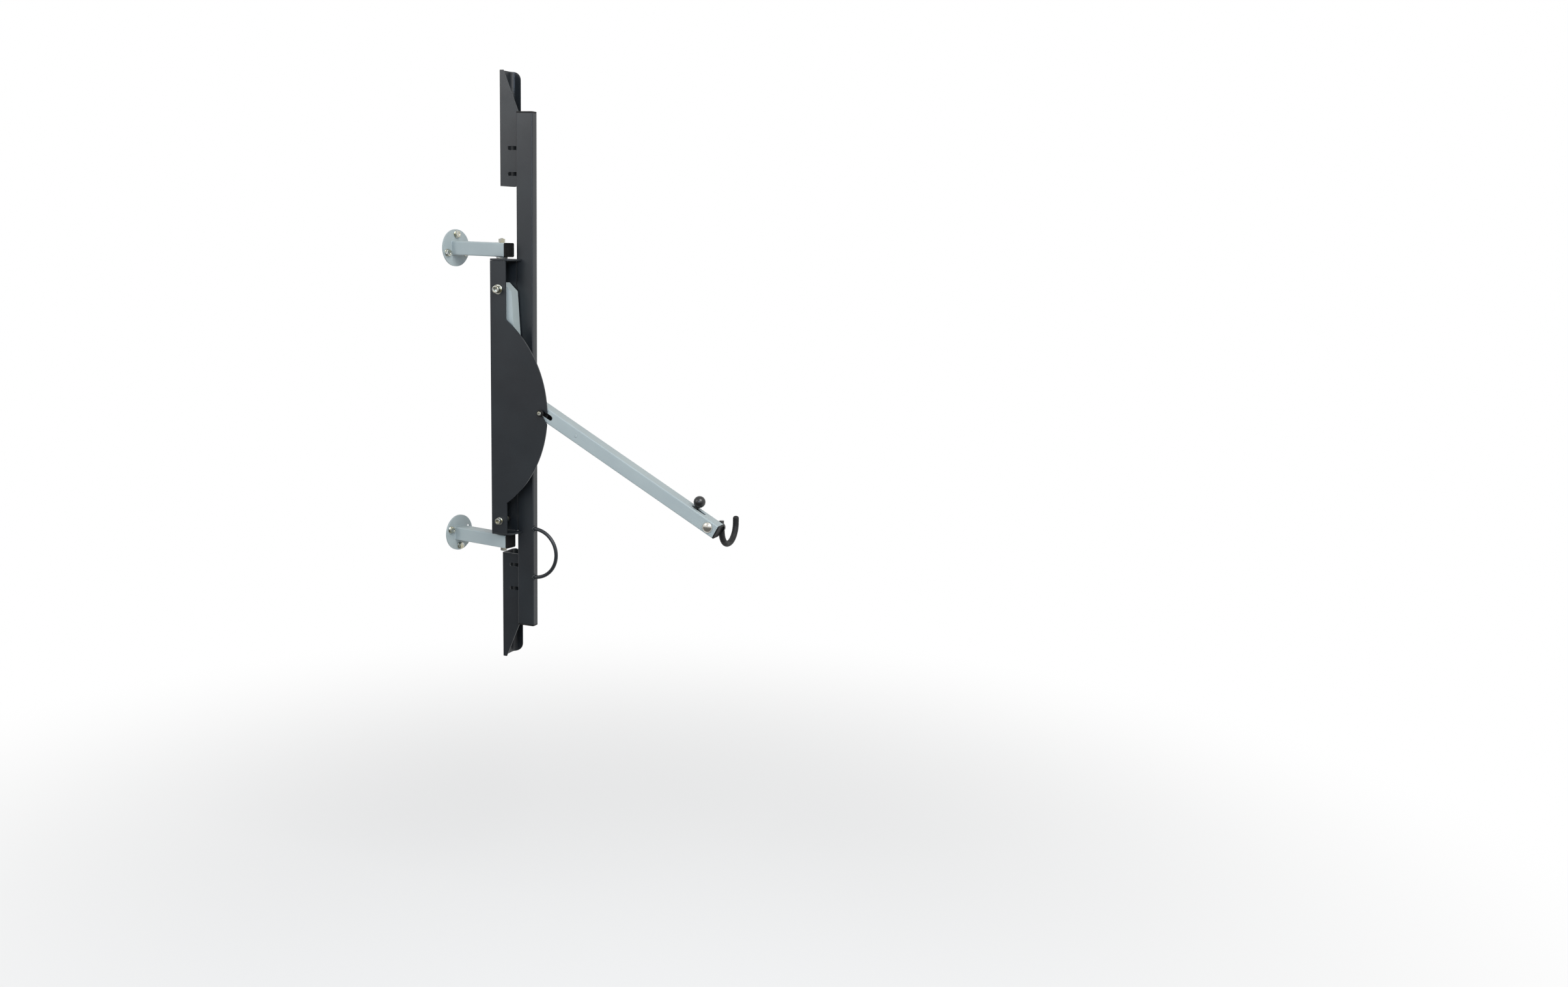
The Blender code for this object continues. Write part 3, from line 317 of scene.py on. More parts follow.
def grained(tree, place, grain, depth, strength, detail=1.0):
    """A skin raised by a grain of a size and a depth in millimetres."""
    texture = {"Vector": place, "Scale": per_metre(grain), "Detail": detail}
    height = add(tree, "TexNoise", texture)
    skin = {"Height": height, "Distance": depth / 1000, "Strength": strength}
    return add(tree, "Bump", skin)


def light_powder_coat(tree, place):
    """Powder coat, light grey, sprayed and baked: satin, with a faint orange peel and specks."""
    coat = colours().light_coat
    # Orange peel is about 2 mm wide. It is drawn at 3 mm so that it shows.
    peel = grained(tree, place, 3, 0.05, 0.6)
    # Specks of dust under the coat lie about a centimetre apart.
    dust = add(tree, "TexVoronoi", {"Vector": place, "Scale": per_metre(11)})
    near = {"Value": dust.outputs["Distance"], "From Max": 0.05, "To Min": 1.0, "To Max": 0.0}
    speck = add(tree, "MapRange", near)
    skin = {"Height": speck, "Distance": 0.00008, "Strength": 0.5, "Normal": peel}
    return {
        "IOR": 1.5,
        "Base Color": drift(tree, place, coat, colours().light_coat_shade, 70),
        "Roughness": uneven(tree, place, 0.38, 0.46, 40),
        "Normal": add(tree, "Bump", skin),
    }


def dark_powder_coat(tree, place):
    """Powder coat, anthracite, sprayed and baked: smooth satin with a fine grain and flecks."""
    coat = colours().dark_coat
    # The coat's grain is about 0.3 mm. It is drawn at 0.8 mm so that it shows.
    texture = {"Vector": place, "Scale": per_metre(0.8), "Detail": 2.0, "Roughness": 0.6}
    grain = add(tree, "TexNoise", texture)
    peaks = {"Value": grain, "From Min": 0.55, "From Max": 0.80}
    flecked = {
        MIX_SHARE: add(tree, "MapRange", peaks),
        MIX_FIRST: drift(tree, place, coat, colours().dark_coat_shade, 90),
        MIX_SECOND: (*colours().dark_coat_fleck, 1),
    }
    skin = {"Height": grain, "Distance": 0.00004, "Strength": 0.5}
    return {
        "IOR": 1.5,
        "Base Color": add(tree, "Mix", flecked, data_type="RGBA").outputs[MIX_RESULT],
        "Roughness": uneven(tree, place, 0.35, 0.42, 60),
        "Normal": add(tree, "Bump", skin),
    }


def moulded_plastic(tree, place):
    """Polyamide, black, injection moulded: a fine eroded grain that leaves it half matt."""
    black = colours().black_moulding
    return {
        "IOR": 1.53,
        "Specular IOR Level": 0.25,
        "Base Color": drift(tree, place, black, shaded(black, 1.7), 12),
        "Roughness": uneven(tree, place, 0.48, 0.62, 6),
        # The spark-eroded grain is about 0.1 mm. It is drawn at 0.8 mm so that it shows.
        "Normal": grained(tree, place, 0.8, 0.05, 0.5, detail=2.0),
    }


def tumbled_phenolic(tree, place):
    """Phenolic resin, black, moulded and tumbled: a soft gloss with faint waves."""
    return {
        "IOR": 1.6,
        "Base Color": (*colours().knob_black, 1),
        "Roughness": uneven(tree, place, 0.28, 0.40, 5),
        "Normal": grained(tree, place, 4, 0.04, 0.4),
    }


def rubber(tree, place):
    """Rubber hose, black, extruded: dull, with a faintly rough skin and a greyish bloom."""
    black = colours().black_rubber
    return {
        "IOR": 1.52,
        "Specular IOR Level": 0.35,
        "Base Color": drift(tree, place, black, shaded(black, 1.8), 8, detail=4.0),
        "Roughness": uneven(tree, place, 0.50, 0.72, 5),
        "Normal": grained(tree, place, 1.2, 0.06, 0.6, detail=3.0),
    }


def enamel(tree, place):
    """Stoving enamel, black, dipped: glossy, with slow waves where it ran."""
    return {
        "IOR": 1.5,
        "Coat Weight": 0.4,
        "Coat Roughness": 0.12,
        "Base Color": (*colours().black_enamel, 1),
        "Roughness": uneven(tree, place, 0.20, 0.32, 10),
        "Normal": grained(tree, place, 6, 0.10, 0.4),
    }


def zinc_plate(tree, place):
    """Steel, zinc plated and passivated: a soft grey metal with a straw tint and a slight haze."""
    zinc = colours().zinc
    return {
        "Metallic": 1.0,
        "Base Color": drift(tree, place, zinc, colours().zinc_tint, 9),
        "Roughness": uneven(tree, place, 0.17, 0.28, 2.5),
        # The plated crystals are under 0.1 mm. They are drawn at 0.6 mm so that they show.
        "Normal": grained(tree, place, 0.6, 0.02, 0.3, detail=2.0),
    }


def bright_steel(tree, place):
    """Stainless steel, turned and polished: nearly mirror bright, with faint marks left in it."""
    return {
        "Metallic": 1.0,
        "Base Color": (*colours().bright_steel, 1),
        "Roughness": uneven(tree, place, 0.08, 0.20, 2),
        "Normal": grained(tree, place, 0.9, 0.01, 0.3, detail=2.0),
    }


def spring_wire(tree, place):
    """Spring steel, drawn and oiled: a dark grey metal, darker and duller in oily patches."""
    wire = colours().spring_wire
    return {
        "Metallic": 1.0,
        "Base Color": drift(tree, place, wire, shaded(wire, 0.6), 3),
        "Roughness": uneven(tree, place, 0.28, 0.48, 1.5),
    }


def nylon(tree, place):
    """Nylon, natural white, turned: waxy, with light passing a little way in."""
    white = colours().nylon
    return {
        "IOR": 1.53,
        "Subsurface Weight": 0.15,
        "Subsurface Radius": (0.002, 0.0015, 0.001),
        "Base Color": drift(tree, place, white, shaded(white, 0.8), 5),
        "Roughness": 0.40,
        "Normal": grained(tree, place, 0.8, 0.04, 0.4),
    }


def paper(tree, place):
    """Paper, white, calendered: fully matt, so that the floor shows only the lift's shadow."""
    return {
        "IOR": 1.5,
        "Specular IOR Level": 0.0,
        "Base Color": (*studio().floor_colour, 1),
        "Roughness": 0.9,
    }


# Each of the record's material slots: the name of its finish and the recipe.
FINISHES = {
    "light_grey_paint": ("satin_powder_coat_light_grey", light_powder_coat),
    "anthracite_powder_coat": ("satin_powder_coat_anthracite", dark_powder_coat),
    "black_plastic": ("moulded_polyamide_black", moulded_plastic),
    "black_rubber": ("extruded_rubber_black", rubber),
    "black_enamel": ("dipped_enamel_black", enamel),
    "zinc_plate": ("passivated_zinc_plate", zinc_plate),
    "polished_steel": ("polished_stainless_steel", bright_steel),
    "spring_steel": ("drawn_spring_steel", spring_wire),
    "white_nylon": ("turned_nylon_natural", nylon),
}


@cache
def finish_of(slot):
    """The finish for one of the record's material slots, made when it is first wanted."""
    return new_finish(*FINISHES[slot])


def slot_of(node):
    """The record's material slot of a solid."""
    parts = frame["record"]["subparts"]
    return next(part["material_slot"] for part in parts if part["node"] == node)


def refinish(*names):
    """Keeps solids as they are and gives them their finish."""
    for name in names:
        for seat in nodes[name].material_slots:
            seat.material = finish_of(slot_of(name))


def dress(name, mesh, node, replaced=True, finish=None, body=None):
    """Turns a mesh into a piece that takes a solid's finish and body, unless it gets its own."""
    if not mesh.faces:
        raise ValueError(f"{name} has no faces")
    bmesh.ops.recalc_face_normals(mesh, faces=mesh.faces)
    data = bpy.data.meshes.new(name)
    mesh.to_mesh(data)
    mesh.free()
    data.materials.append(finish or finish_of(slot_of(node)))
    data.shade_smooth()
    data.set_sharp_from_angle(angle=SOFT_ANGLE)
    piece = bpy.data.objects.new(name, data)
    bpy.context.scene.collection.objects.link(piece)
    smooth = piece.modifiers.new("even_shading", "WEIGHTED_NORMAL")
    smooth.keep_sharp = True
    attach(piece, body or nodes[node]["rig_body"])
    if replaced:
        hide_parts(node)
    return piece


def rounder(mesh, centre, axis, radius, cuts=3):
    """Cuts a many-sided rim finer and sets its new points on the true circle."""

    def out(vert):
        arm = vert.co - centre
        return arm - axis * arm.dot(axis)

    def on_rim(edge):
        ends = edge.verts
        level = abs((ends[0].co - ends[1].co).dot(axis)) < SNAP
        return level and all(abs(out(end).length - radius) < 3 * SNAP for end in ends)

    rim = [edge for edge in mesh.edges if on_rim(edge)]
    made = bmesh.ops.subdivide_edges(mesh, edges=rim, cuts=cuts)["geom_inner"]
    for vert in {v for v in made if isinstance(v, bmesh.types.BMVert)}:
        arm = out(vert)
        vert.co += arm.normalized() * (radius - arm.length)


def softened(node, radius, steps=2, rims=()):
    """A copy of a solid with its hard edges rounded and its round rims made finer."""
    mesh = bmesh.new()
    mesh.from_mesh(nodes[node].data)
    bmesh.ops.remove_doubles(mesh, verts=mesh.verts, dist=2e-6)
    flat = radians(0.4)
    bmesh.ops.dissolve_limit(mesh, angle_limit=flat, verts=mesh.verts, edges=mesh.edges)
    for rim in rims:
        rounder(mesh, *rim)
    pairs = [e for e in mesh.edges if len(e.link_faces) == 2]
    bmesh.ops.bevel(
        mesh, geom=[e for e in pairs if e.calc_face_angle() > SOFT_ANGLE], offset=radius,
        offset_type="OFFSET", segments=steps, profile=0.5, affect="EDGES",
        clamp_overlap=True, loop_slide=True,
    )
    return mesh


def widened_fold(mesh, corner, radius, sheet, bend, strips=8):
    """Opens the tight fold at a trough's far back corner (x, y) into a wide one."""
    back, far = corner
    for k in range(strips, 0, -1):
        step = radius * k / strips
        for point, normal in (((0, far - step, 0), (0, 1, 0)), ((back + step, 0, 0), (1, 0, 0))):
            faces = [f for f in mesh.faces if max(v.co.y for v in f.verts) > far - step]
            edges = list(dict.fromkeys(e for f in faces for e in f.edges))
            verts = list(dict.fromkeys(v for f in faces for v in f.verts))
            bmesh.ops.bisect_plane(
                mesh, geom=edges + verts + faces, plane_co=point, plane_no=normal, dist=1e-6
            )
    for vert in mesh.verts:
        u, v = vert.co.x - back, far - vert.co.y
        if max(u, v) >= radius or v < -1e-6:
            continue
        # How deep the point lies in the sheet, from the outside of the fold.
        deep = min(u, v)
        if u < bend and v < bend:
            deep = min(sheet, max(0.0, bend - hypot(bend - u, bend - v)))
        share = (max(u, v) - min(u, v)) / (radius - min(u, v))
        angle = pi / 4 * (1 - share)
        thin = radius - (radius - deep) * cos(angle)
        along = radius - (radius - deep) * sin(angle)
        u, v = (thin, along) if u < v else (along, thin)
        vert.co.x, vert.co.y = back + u, far - v


def loft(rings, closed=False):
    """A skin over rings of equal count, with flat ends or joined round."""
    mesh = bmesh.new()
    made = [[mesh.verts.new(point) for point in ring] for ring in rings]
    pairs = list(zip(made, made[1:]))
    if closed:
        pairs.append((made[-1], made[0]))
    for first, second in pairs:
        for i in range(len(first)):
            mesh.faces.new((first[i - 1], first[i], second[i], second[i - 1]))
    if not closed:
        mesh.faces.new(made[0])
        mesh.faces.new(made[-1])
    return mesh


def around(sides):
    """Angles of the points of a ring."""
    return [2 * pi * k / sides for k in range(sides)]


def on_circle(radius, angle, level):
    """A point at an angle, a distance from the axis and a level."""
    return Vector((radius * cos(angle), radius * sin(angle), level))


def round_ring(radius, level, sides=SMALL_SIDES, knurl=0.0):
    """A circle at a level; with a knurl, every other point lies deeper by as much."""
    return [on_circle(radius - knurl * (k % 2), a, level) for k, a in enumerate(around(sides))]


def hex_ring(across, level, crown=inf, sides=SMALL_SIDES):
    """A hexagon at a level; outside the crown's radius it falls away as a head's chamfer does."""
    points = []
    for angle in around(sides):
        off_flat = (angle + pi / 6) % (pi / 3) - pi / 6
        radius = across / 2 / cos(off_flat)
        drop = max(0.0, radius - crown) * HEAD_CHAMFER
        points.append(on_circle(radius, angle, level - drop))
    return points


def thread(radius, low, high):
    """Rings of a threaded stretch, six to a pitch; the groove winds round with the pitch."""
    pitch, depth = sizes().thread_pitch, sizes().thread_depth
    count = max(2, round((high - low) / pitch * 6))
    rings = []
    for k in range(count + 1):
        level = low + (high - low) * k / count
        ring = []
        for angle in around(SMALL_SIDES):
            turn = (level / pitch - angle / (2 * pi)) % 1
            ring.append(on_circle(radius - depth * abs(2 * turn - 1), angle, level))
        rings.append(ring)
    return rings


def shank_rings(shank, below, sides=SMALL_SIDES):
    """Rings of a bolt's shank, from its chamfered point up to 0."""
    return [
        round_ring(shank / 2 - POINT_CHAMFER, -below, sides),
        round_ring(shank / 2, POINT_CHAMFER - below, sides),
        round_ring(shank / 2, 0, sides),
    ]


def washer_rings(wide, thick, sides=SMALL_SIDES):
    """Rings of a washer's outside, with its edges rounded."""
    edge = sizes().washer_edge
    outline = ((edge, 0), (0, edge), (0, thick - edge), (edge, thick))
    return [round_ring(wide / 2 - less, level, sides) for less, level in outline]


def hex_head(across, base, height):
    """Rings of a hexagon head or nut, from its washer face to its chamfered top."""
    crown = across * 0.475
    washer_face = 0.0003
    face, top = base + washer_face, base + height
    return [
        round_ring(crown, base),
        round_ring(crown, face),
        hex_ring(across, face),
        hex_ring(across, top, crown),
        round_ring(crown, top),
    ]


def hex_bolt(height, below, washer):
    """An M8 hexagon bolt on its washer: the washer lies on 0 and the shank hangs below."""
    base = washer[1]
    top = base + height
    # The forged dish in the head: its radius, how far its wall slopes in, and its depth.
    dish, slope, deep = M8_HEAD * 0.30, 0.0004, 0.00035
    rings = shank_rings(M8, below) + washer_rings(*washer) + hex_head(M8_HEAD, base, height)
    rings += [round_ring(dish, top), round_ring(dish - slope, top - deep)]
    return loft(rings)


def hex_nut(across, height, bore, washer=None, stub=0.0):
    """A hexagon nut, on its washer if it has one, with a stub of threaded bolt out of it."""
    base = washer[1] if washer else 0.0
    top = base + height
    # The chamfer of the bore, its width and depth, and how far the stub's point tapers.
    flare, sunk, taper = 0.0005, 0.0006, 0.0012
    lip = top - sunk
    rings = washer_rings(*washer) if washer else []
    rings += hex_head(across, base, height)
    rings += [round_ring(bore / 2 + flare, top), round_ring(bore / 2, lip)]
    if not stub:
        return loft([round_ring(bore / 2, 0), *rings], closed=True)
    point = round_ring(bore / 2 - taper, top + stub)
    return loft([*rings, *thread(bore / 2, lip, lip + stub), point])


def socket_bolt(wide, height, shank, below, socket, washer=None, knurl=True):
    """A socket-head bolt: round head, knurled or plain, rounded rim, hexagon socket."""
    sides = KNURL_SIDES
    groove = sizes().knurl if knurl else 0
    rings = shank_rings(shank, below, sides)
    base = 0.0
    if washer:
        rings += washer_rings(*washer, sides)
        base = washer[1]
    top = base + height
    # The head's chamfered foot, its rounded rim and the smooth band under the rim.
    foot, rim, band = 0.0006, wide * 0.06, 0.0003
    rings.append(round_ring(wide / 2 - foot, base, sides))
    rings += [round_ring(wide / 2, z, sides, groove) for z in (base + foot, top - rim - band)]
    for share in (0.0, 0.35, 0.7, 1.0):
        angle = share * pi / 2
        radius = wide / 2 - sizes().knurl - rim * (1 - cos(angle))
        rings.append(round_ring(radius, top - rim * (1 - sin(angle)), sides))
    # The socket's round mouth, its hexagon and the drill's cone at the bottom.
    mouth, flare, deep = socket * 0.62, 0.0005, height * 0.55
    rings += [
        round_ring(mouth, top, sides),
        hex_ring(socket, top - flare, sides=sides),
        hex_ring(socket, top - deep, sides=sides),
        round_ring(socket * 0.12, top - height * 0.62, sides),
    ]
    return loft(rings)


def seat_of(node, axis, height):
    """The point on a fastener's axis at its seat, from its height above the seat."""
    points = [v.co for v in nodes[node].data.vertices]

    def middle(way):
        levels = [p.dot(way) for p in points]
        return way * (min(levels) + max(levels)) / 2

    side = axis.orthogonal().normalized()
    top = max(p.dot(axis) for p in points)
    return axis * (top - height) + middle(side) + middle(axis.cross(side))


def fit(name, mesh, node, way, height, up=UP, finish=None):
    """Stands a mesh made along its own +Z on a solid's seat, and dresses the solid in it."""
    y = (up - way * up.dot(way)).normalized()
    turn = Matrix((y.cross(way), y, way)).transposed().to_4x4()
    turn.translation = seat_of(node, way, height)
    bmesh.ops.transform(mesh, matrix=turn, verts=mesh.verts)
    dress(name, mesh, node, finish=finish)


def recoat(node, name, edge, **how):
    """Dresses a solid in a softened copy of itself."""
    dress(name, softened(node, edge, **how), node)


def box_ring(width, height, radius, level, steps=6):
    """A rectangle with round corners at a level."""
    points = []
    for quarter, (x, y) in enumerate(((-1, -1), (1, -1), (1, 1), (-1, 1))):
        centre = Vector((x * (width / 2 - radius), y * (height / 2 - radius), 0))
        for k in range(steps + 1):
            angle = pi / 2 * (quarter + 2 + k / steps)
            points.append(centre + on_circle(radius, angle, level))
    return points


def end_cap(width, height, thick=CAP_THICK):
    """A pressed-in end cap: its insert below 0, and a rim around a sunk middle above it."""
    play = 2 * (TUBE_WALL + 0.0003)
    inner = TUBE_CORNER - TUBE_WALL
    lead, edge = 0.001, 0.0007
    rims = 2 * sizes().cap_rim
    # How much narrower than the tube, corner radius and level.
    outline = (
        (play + lead, inner, -CAP_INSERT),
        (play, inner, lead - CAP_INSERT),
        (play, inner, 0),
        (0.0004, TUBE_CORNER, 0),
        (0, TUBE_CORNER, 0.0003),
        (0, TUBE_CORNER, thick - edge),
        (edge * 0.6, TUBE_CORNER, thick - edge * 0.3),
        (edge * 2, TUBE_CORNER - edge * 0.5, thick),
        (rims - 0.0006, TUBE_CORNER * 0.8, thick),
        (rims, TUBE_CORNER * 0.8, thick - 0.0003),
        (rims + 0.0010, TUBE_CORNER * 0.7, thick - sizes().cap_recess),
    )
    return loft([box_ring(width - less, height - less, *place) for less, *place in outline])


def bar(path, across, radius, sides=24, closed=False):
    """A round bar along points; across and radius hold for all of them, or are lists."""
    turning = isinstance(across, list)
    rings = []
    last = len(path) - 1
    for i, point in enumerate(path):
        ahead = path[(i + 1) % len(path)] if closed else path[min(i + 1, last)]
        behind = path[i - 1] if closed else path[max(i - 1, 0)]
        first = across[i] if turning else across
        second = (ahead - behind).normalized().cross(first)
        if turning:
            second.normalize()
        size = radius[i] if isinstance(radius, list) else radius
        spokes = [first * cos(a) + second * sin(a) for a in around(sides)]
        rings.append([point + spoke * size for spoke in spokes])
    return loft(rings, closed)


def coil(start, end, radius, wire, turns, steps=24):
    """A coil spring between two points, with its first and last turn closed up."""
    axis = (end - start).normalized()
    first = axis.orthogonal().normalized()
    second = axis.cross(first)
    pitch = ((end - start).length - 6 * wire) / (turns - 2)
    points, spokes = [], []
    for k in range(turns * steps + 1):
        turn = k / steps
        shut = min(turn, 1) + max(turn - turns + 1, 0)
        level = wire * (1 + 2 * shut) + pitch * min(max(turn - 1, 0), turns - 2)
        angle = 2 * pi * turn
        spokes.append(first * cos(angle) + second * sin(angle))
        points.append(start + axis * level + spokes[-1] * radius)
    return bar(points, spokes, wire, sides=10)


def spaced(path, step):
    """Points at equal steps along a path."""
    total = sum((b - a).length for a, b in zip(path, path[1:]))
    count = max(2, round(total / step))
    made = [path[0]]
    run = 0.0
    k = 1
    for a, b in zip(path, path[1:]):
        size = (b - a).length
        while k <= count and run + size >= total * k / count - 1e-9:
            share = (total * k / count - run) / size if size else 0
            made.append(a.lerp(b, min(1.0, share)))
            k += 1
        run += size
    return made


def weld_bead(outline, normal, scale, ripple):
    """A weld bead round an outline: a bar that swells at every ripple, with a slow wave."""
    path = spaced([*outline, outline[0]], sizes().weld_ripple / 4)[:-1]
    size = sizes().weld_radius * scale
    radii = []
    for k in range(len(path)):
        swell = ripple * sin(k * pi / 2)
        wave = 0.05 * sin(k * 0.37)
        radii.append(size * (1 + swell + wave))
    return bar(path, normal, radii, sides=12, closed=True)


class BIKELIFT_OT_wall_brackets(Operator):
    """Dresses the two wall brackets, welds their tubes to the discs and caps the tubes"""

    bl_idname = "bikelift.wall_brackets"
    bl_label = "Wall brackets"

    def execute(self, context):
        across = UP.cross(WALL_NORMAL).normalized()
        # The bead lies on the disc's face, just outside the tube.
        disc_face = 0.0042
        side = SQUARE_TUBE[0] + 0.0006
        weld_line = box_ring(side, side, 0.0035, 0, steps=5)
        for level in ("upper", "lower"):
            node = level + "_wall_bracket"
            low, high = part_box(node)
            centre = Vector((0, 0, (low.z + high.z) / 2))
            rim = (centre, WALL_NORMAL, (high.z - low.z) / 2)
            recoat(node, level + "_wall_arm", sizes().tube_edge, rims=[rim])
            cap = end_cap(*SQUARE_TUBE)
            fit(level + "_arm_plug", cap, level + "_arm_cap", WALL_NORMAL, CAP_THICK)
            foot = centre + WALL_NORMAL * disc_face
            outline = [foot + across * point.x + UP * point.y for point in weld_line]
            bead = weld_bead(outline, WALL_NORMAL, scale=0.4, ripple=0.03)
            dress(level + "_disc_weld", bead, node, replaced=False)
        return {"FINISHED"}


class BIKELIFT_OT_wall_bolts(Operator):
    """Makes the hexagon bolts that hold the discs, each turned its own way"""

    bl_idname = "bikelift.wall_bolts"
    bl_label = "Wall bolts"

    def execute(self, context):
        head, reach = 0.0053, 0.004
        for level, first, bolts in (("upper", 7, 3), ("lower", 31, 2)):
            for count in range(1, bolts + 1):
                turn = Matrix.Rotation(radians(first + 23 * count), 3, WALL_NORMAL) @ UP
                name, node = f"{level}_wall_screw_{count}", f"{level}_wall_bolt_{count}"
                bolt = hex_bolt(head, reach, M8_WASHER)
                fit(name, bolt, node, WALL_NORMAL, M8_WASHER[1] + head, turn)
        return {"FINISHED"}


class BIKELIFT_OT_swivel_joints(Operator):
    """Makes the swivel bolts, their threaded nuts and the bushes between arm and housing"""

    bl_idname = "bikelift.swivel_joints"
    bl_label = "Swivel joints"

    def execute(self, context):
        corner = Matrix.Rotation(radians(21), 3, UP) @ VIEWER
        head, socket, nut_rise = 0.005, 0.005, 0.008
        # The bolt ends inside its nut, where the nut's threaded stub takes over.
        overlap = 0.004
        for level, way in (("upper", UP), ("lower", -UP)):
            name = level + "_swivel_"
            nut = hex_nut(M8_HEAD, nut_rise, M8, stub=0.0012)
            fit(name + "locknut", nut, name + "nut", way, nut_rise, corner)
            low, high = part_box(name + "bolt")
            screw = socket_bolt(M8_HEAD, head, M8, high.z - low.z - head - overlap, socket)
            fit(name + "screw", screw, name + "bolt", -way, head, VIEWER)
            recoat(name + "bush", name + "bearing", sizes().turned_edge)
        return {"FINISHED"}


class BIKELIFT_OT_housing(Operator):
    """Dresses the side plate, the folded back cover and the two end plates"""

    bl_idname = "bikelift.housing"
    bl_label = "Housing"

    def execute(self, context):
        for node, name in (
            ("side_plate", "side_sheet"),
            ("back_cover", "back_sheet"),
            ("top_plate", "top_sheet"),
            ("bottom_plate", "bottom_sheet"),
        ):
            recoat(node, name, sizes().plate_edge)
        return {"FINISHED"}


class BIKELIFT_OT_cross_bolts(Operator):
    """Makes the pivot and anchor bolts with their nuts, and dresses the bushes and spacers"""

    bl_idname = "bikelift.cross_bolts"
    bl_label = "Pivot and anchor bolts"

    def execute(self, context):
        for name, (head, rise, shank, socket, washer, across, nut_rise) in CROSS_BOLTS.items():
            node, above = name + "_bolt", rise + washer[1]
            low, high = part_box(node)
            bolt = socket_bolt(head, rise, shank, high.y - low.y - above, socket, washer)
            fit(name + "_screw", bolt, node, VIEWER, above)
            nut = hex_nut(across, nut_rise, shank + NUT_PLAY, washer)
            fit(name + "_locknut", nut, name + "_nut", -VIEWER, nut_rise + washer[1])
        for piece in ("pivot_bush", "anchor_spacer"):
            for node in ("near_" + piece, "far_" + piece):
                recoat(node, node + "_ring", sizes().turned_edge)
        return {"FINISHED"}


class BIKELIFT_OT_rail(Operator):
    """Dresses the rail and presses the caps into its ends"""

    bl_idname = "bikelift.rail"
    bl_label = "Rail"

    def execute(self, context):
        recoat("rail", "rail_tube", sizes().tube_edge)
        for end, way in (("rail_top", UP), ("rail_bottom", -UP)):
            fit(end + "_plug", end_cap(*RAIL_TUBE), end + "_cap", way, CAP_THICK, VIEWER)
        return {"FINISHED"}


class BIKELIFT_OT_troughs(Operator):
    """Dresses the two folded wheel troughs"""

    bl_idname = "bikelift.troughs"
    bl_label = "Wheel troughs"

    def execute(self, context):
        for level in ("upper", "lower"):
            node = level + "_trough"
            mesh = softened(node, sizes().plate_edge)
            low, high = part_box(node)
            corner = (low.x, high.y)
            widened_fold(mesh, corner, sizes().trough_fold, sheet=0.0025, bend=0.003)
            dress(level + "_gutter", mesh, node)
        return {"FINISHED"}


class BIKELIFT_OT_trough_screws(Operator):
    """Makes the four flanged screws that hold the troughs"""

    bl_idname = "bikelift.trough_screws"
    bl_label = "Trough screws"

    def execute(self, context):
        flange = (0.0176, 0.0015)
        head, reach = 0.006, 0.017
        for count in (1, 2, 3, 4):
            name, node = f"gutter_screw_{count}", f"trough_screw_{count}"
            turn = Matrix.Rotation(radians(17 * count), 3, VIEWER) @ UP
            fit(name, hex_bolt(head, reach, flange), node, -VIEWER, head + flange[1], turn)
        return {"FINISHED"}


class BIKELIFT_OT_lock_loop(Operator):
    """Bends the lock loop from round bar and welds its ends to the rail"""

    bl_idname = "bikelift.lock_loop"
    bl_label = "Lock loop"

    def execute(self, context):
        low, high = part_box("lock_loop")
        radius = (high.y - low.y) / 2
        reach = high.x - low.x - radius
        centre = Vector((low.x, (low.y + high.y) / 2, (low.z + high.z) / 2))
        turns = [pi / 2 - pi * k / 64 for k in range(65)]
        path = [centre + Vector((reach * cos(a), 0, reach * sin(a))) for a in turns]
        dress("loop_bar", bar(path, VIEWER, radius), "lock_loop")
        rail_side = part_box("rail")[0].y
        weld_ring, stand = 0.0050, 0.0006
        for name, end in (("upper", path[0]), ("lower", path[-1])):
            outline = []
            for a in around(32):
                spot = (stand, weld_ring * cos(a), weld_ring * sin(a))
                point = end + Vector(spot)
                # The bead follows the rail's round corner.
                inset = max(0.0, TUBE_CORNER - max(0.0, point.y - rail_side))
                point.x -= TUBE_CORNER - sqrt(TUBE_CORNER ** 2 - inset ** 2)
                outline.append(point)
            bead = weld_bead(outline, OUT, scale=0.8, ripple=0.04)
            dress(name + "_loop_weld", bead, "lock_loop", replaced=False)
        return {"FINISHED"}


class BIKELIFT_OT_lift_arm(Operator):
    """Dresses the arm's channel and tube, and caps the tube"""

    bl_idname = "bikelift.lift_arm"
    bl_label = "Lift arm"

    def execute(self, context):
        recoat("arm_channel", "arm_hanger", sizes().plate_edge)
        recoat("lift_tube", "arm_tube", sizes().tube_edge)
        # A little thinner than the others, so that its round corners stay in the solid's reach.
        cap = end_cap(*SQUARE_TUBE, thick=0.0028)
        fit("arm_plug", cap, "arm_end_cap", TUBE_AXIS, CAP_THICK)
        return {"FINISHED"}


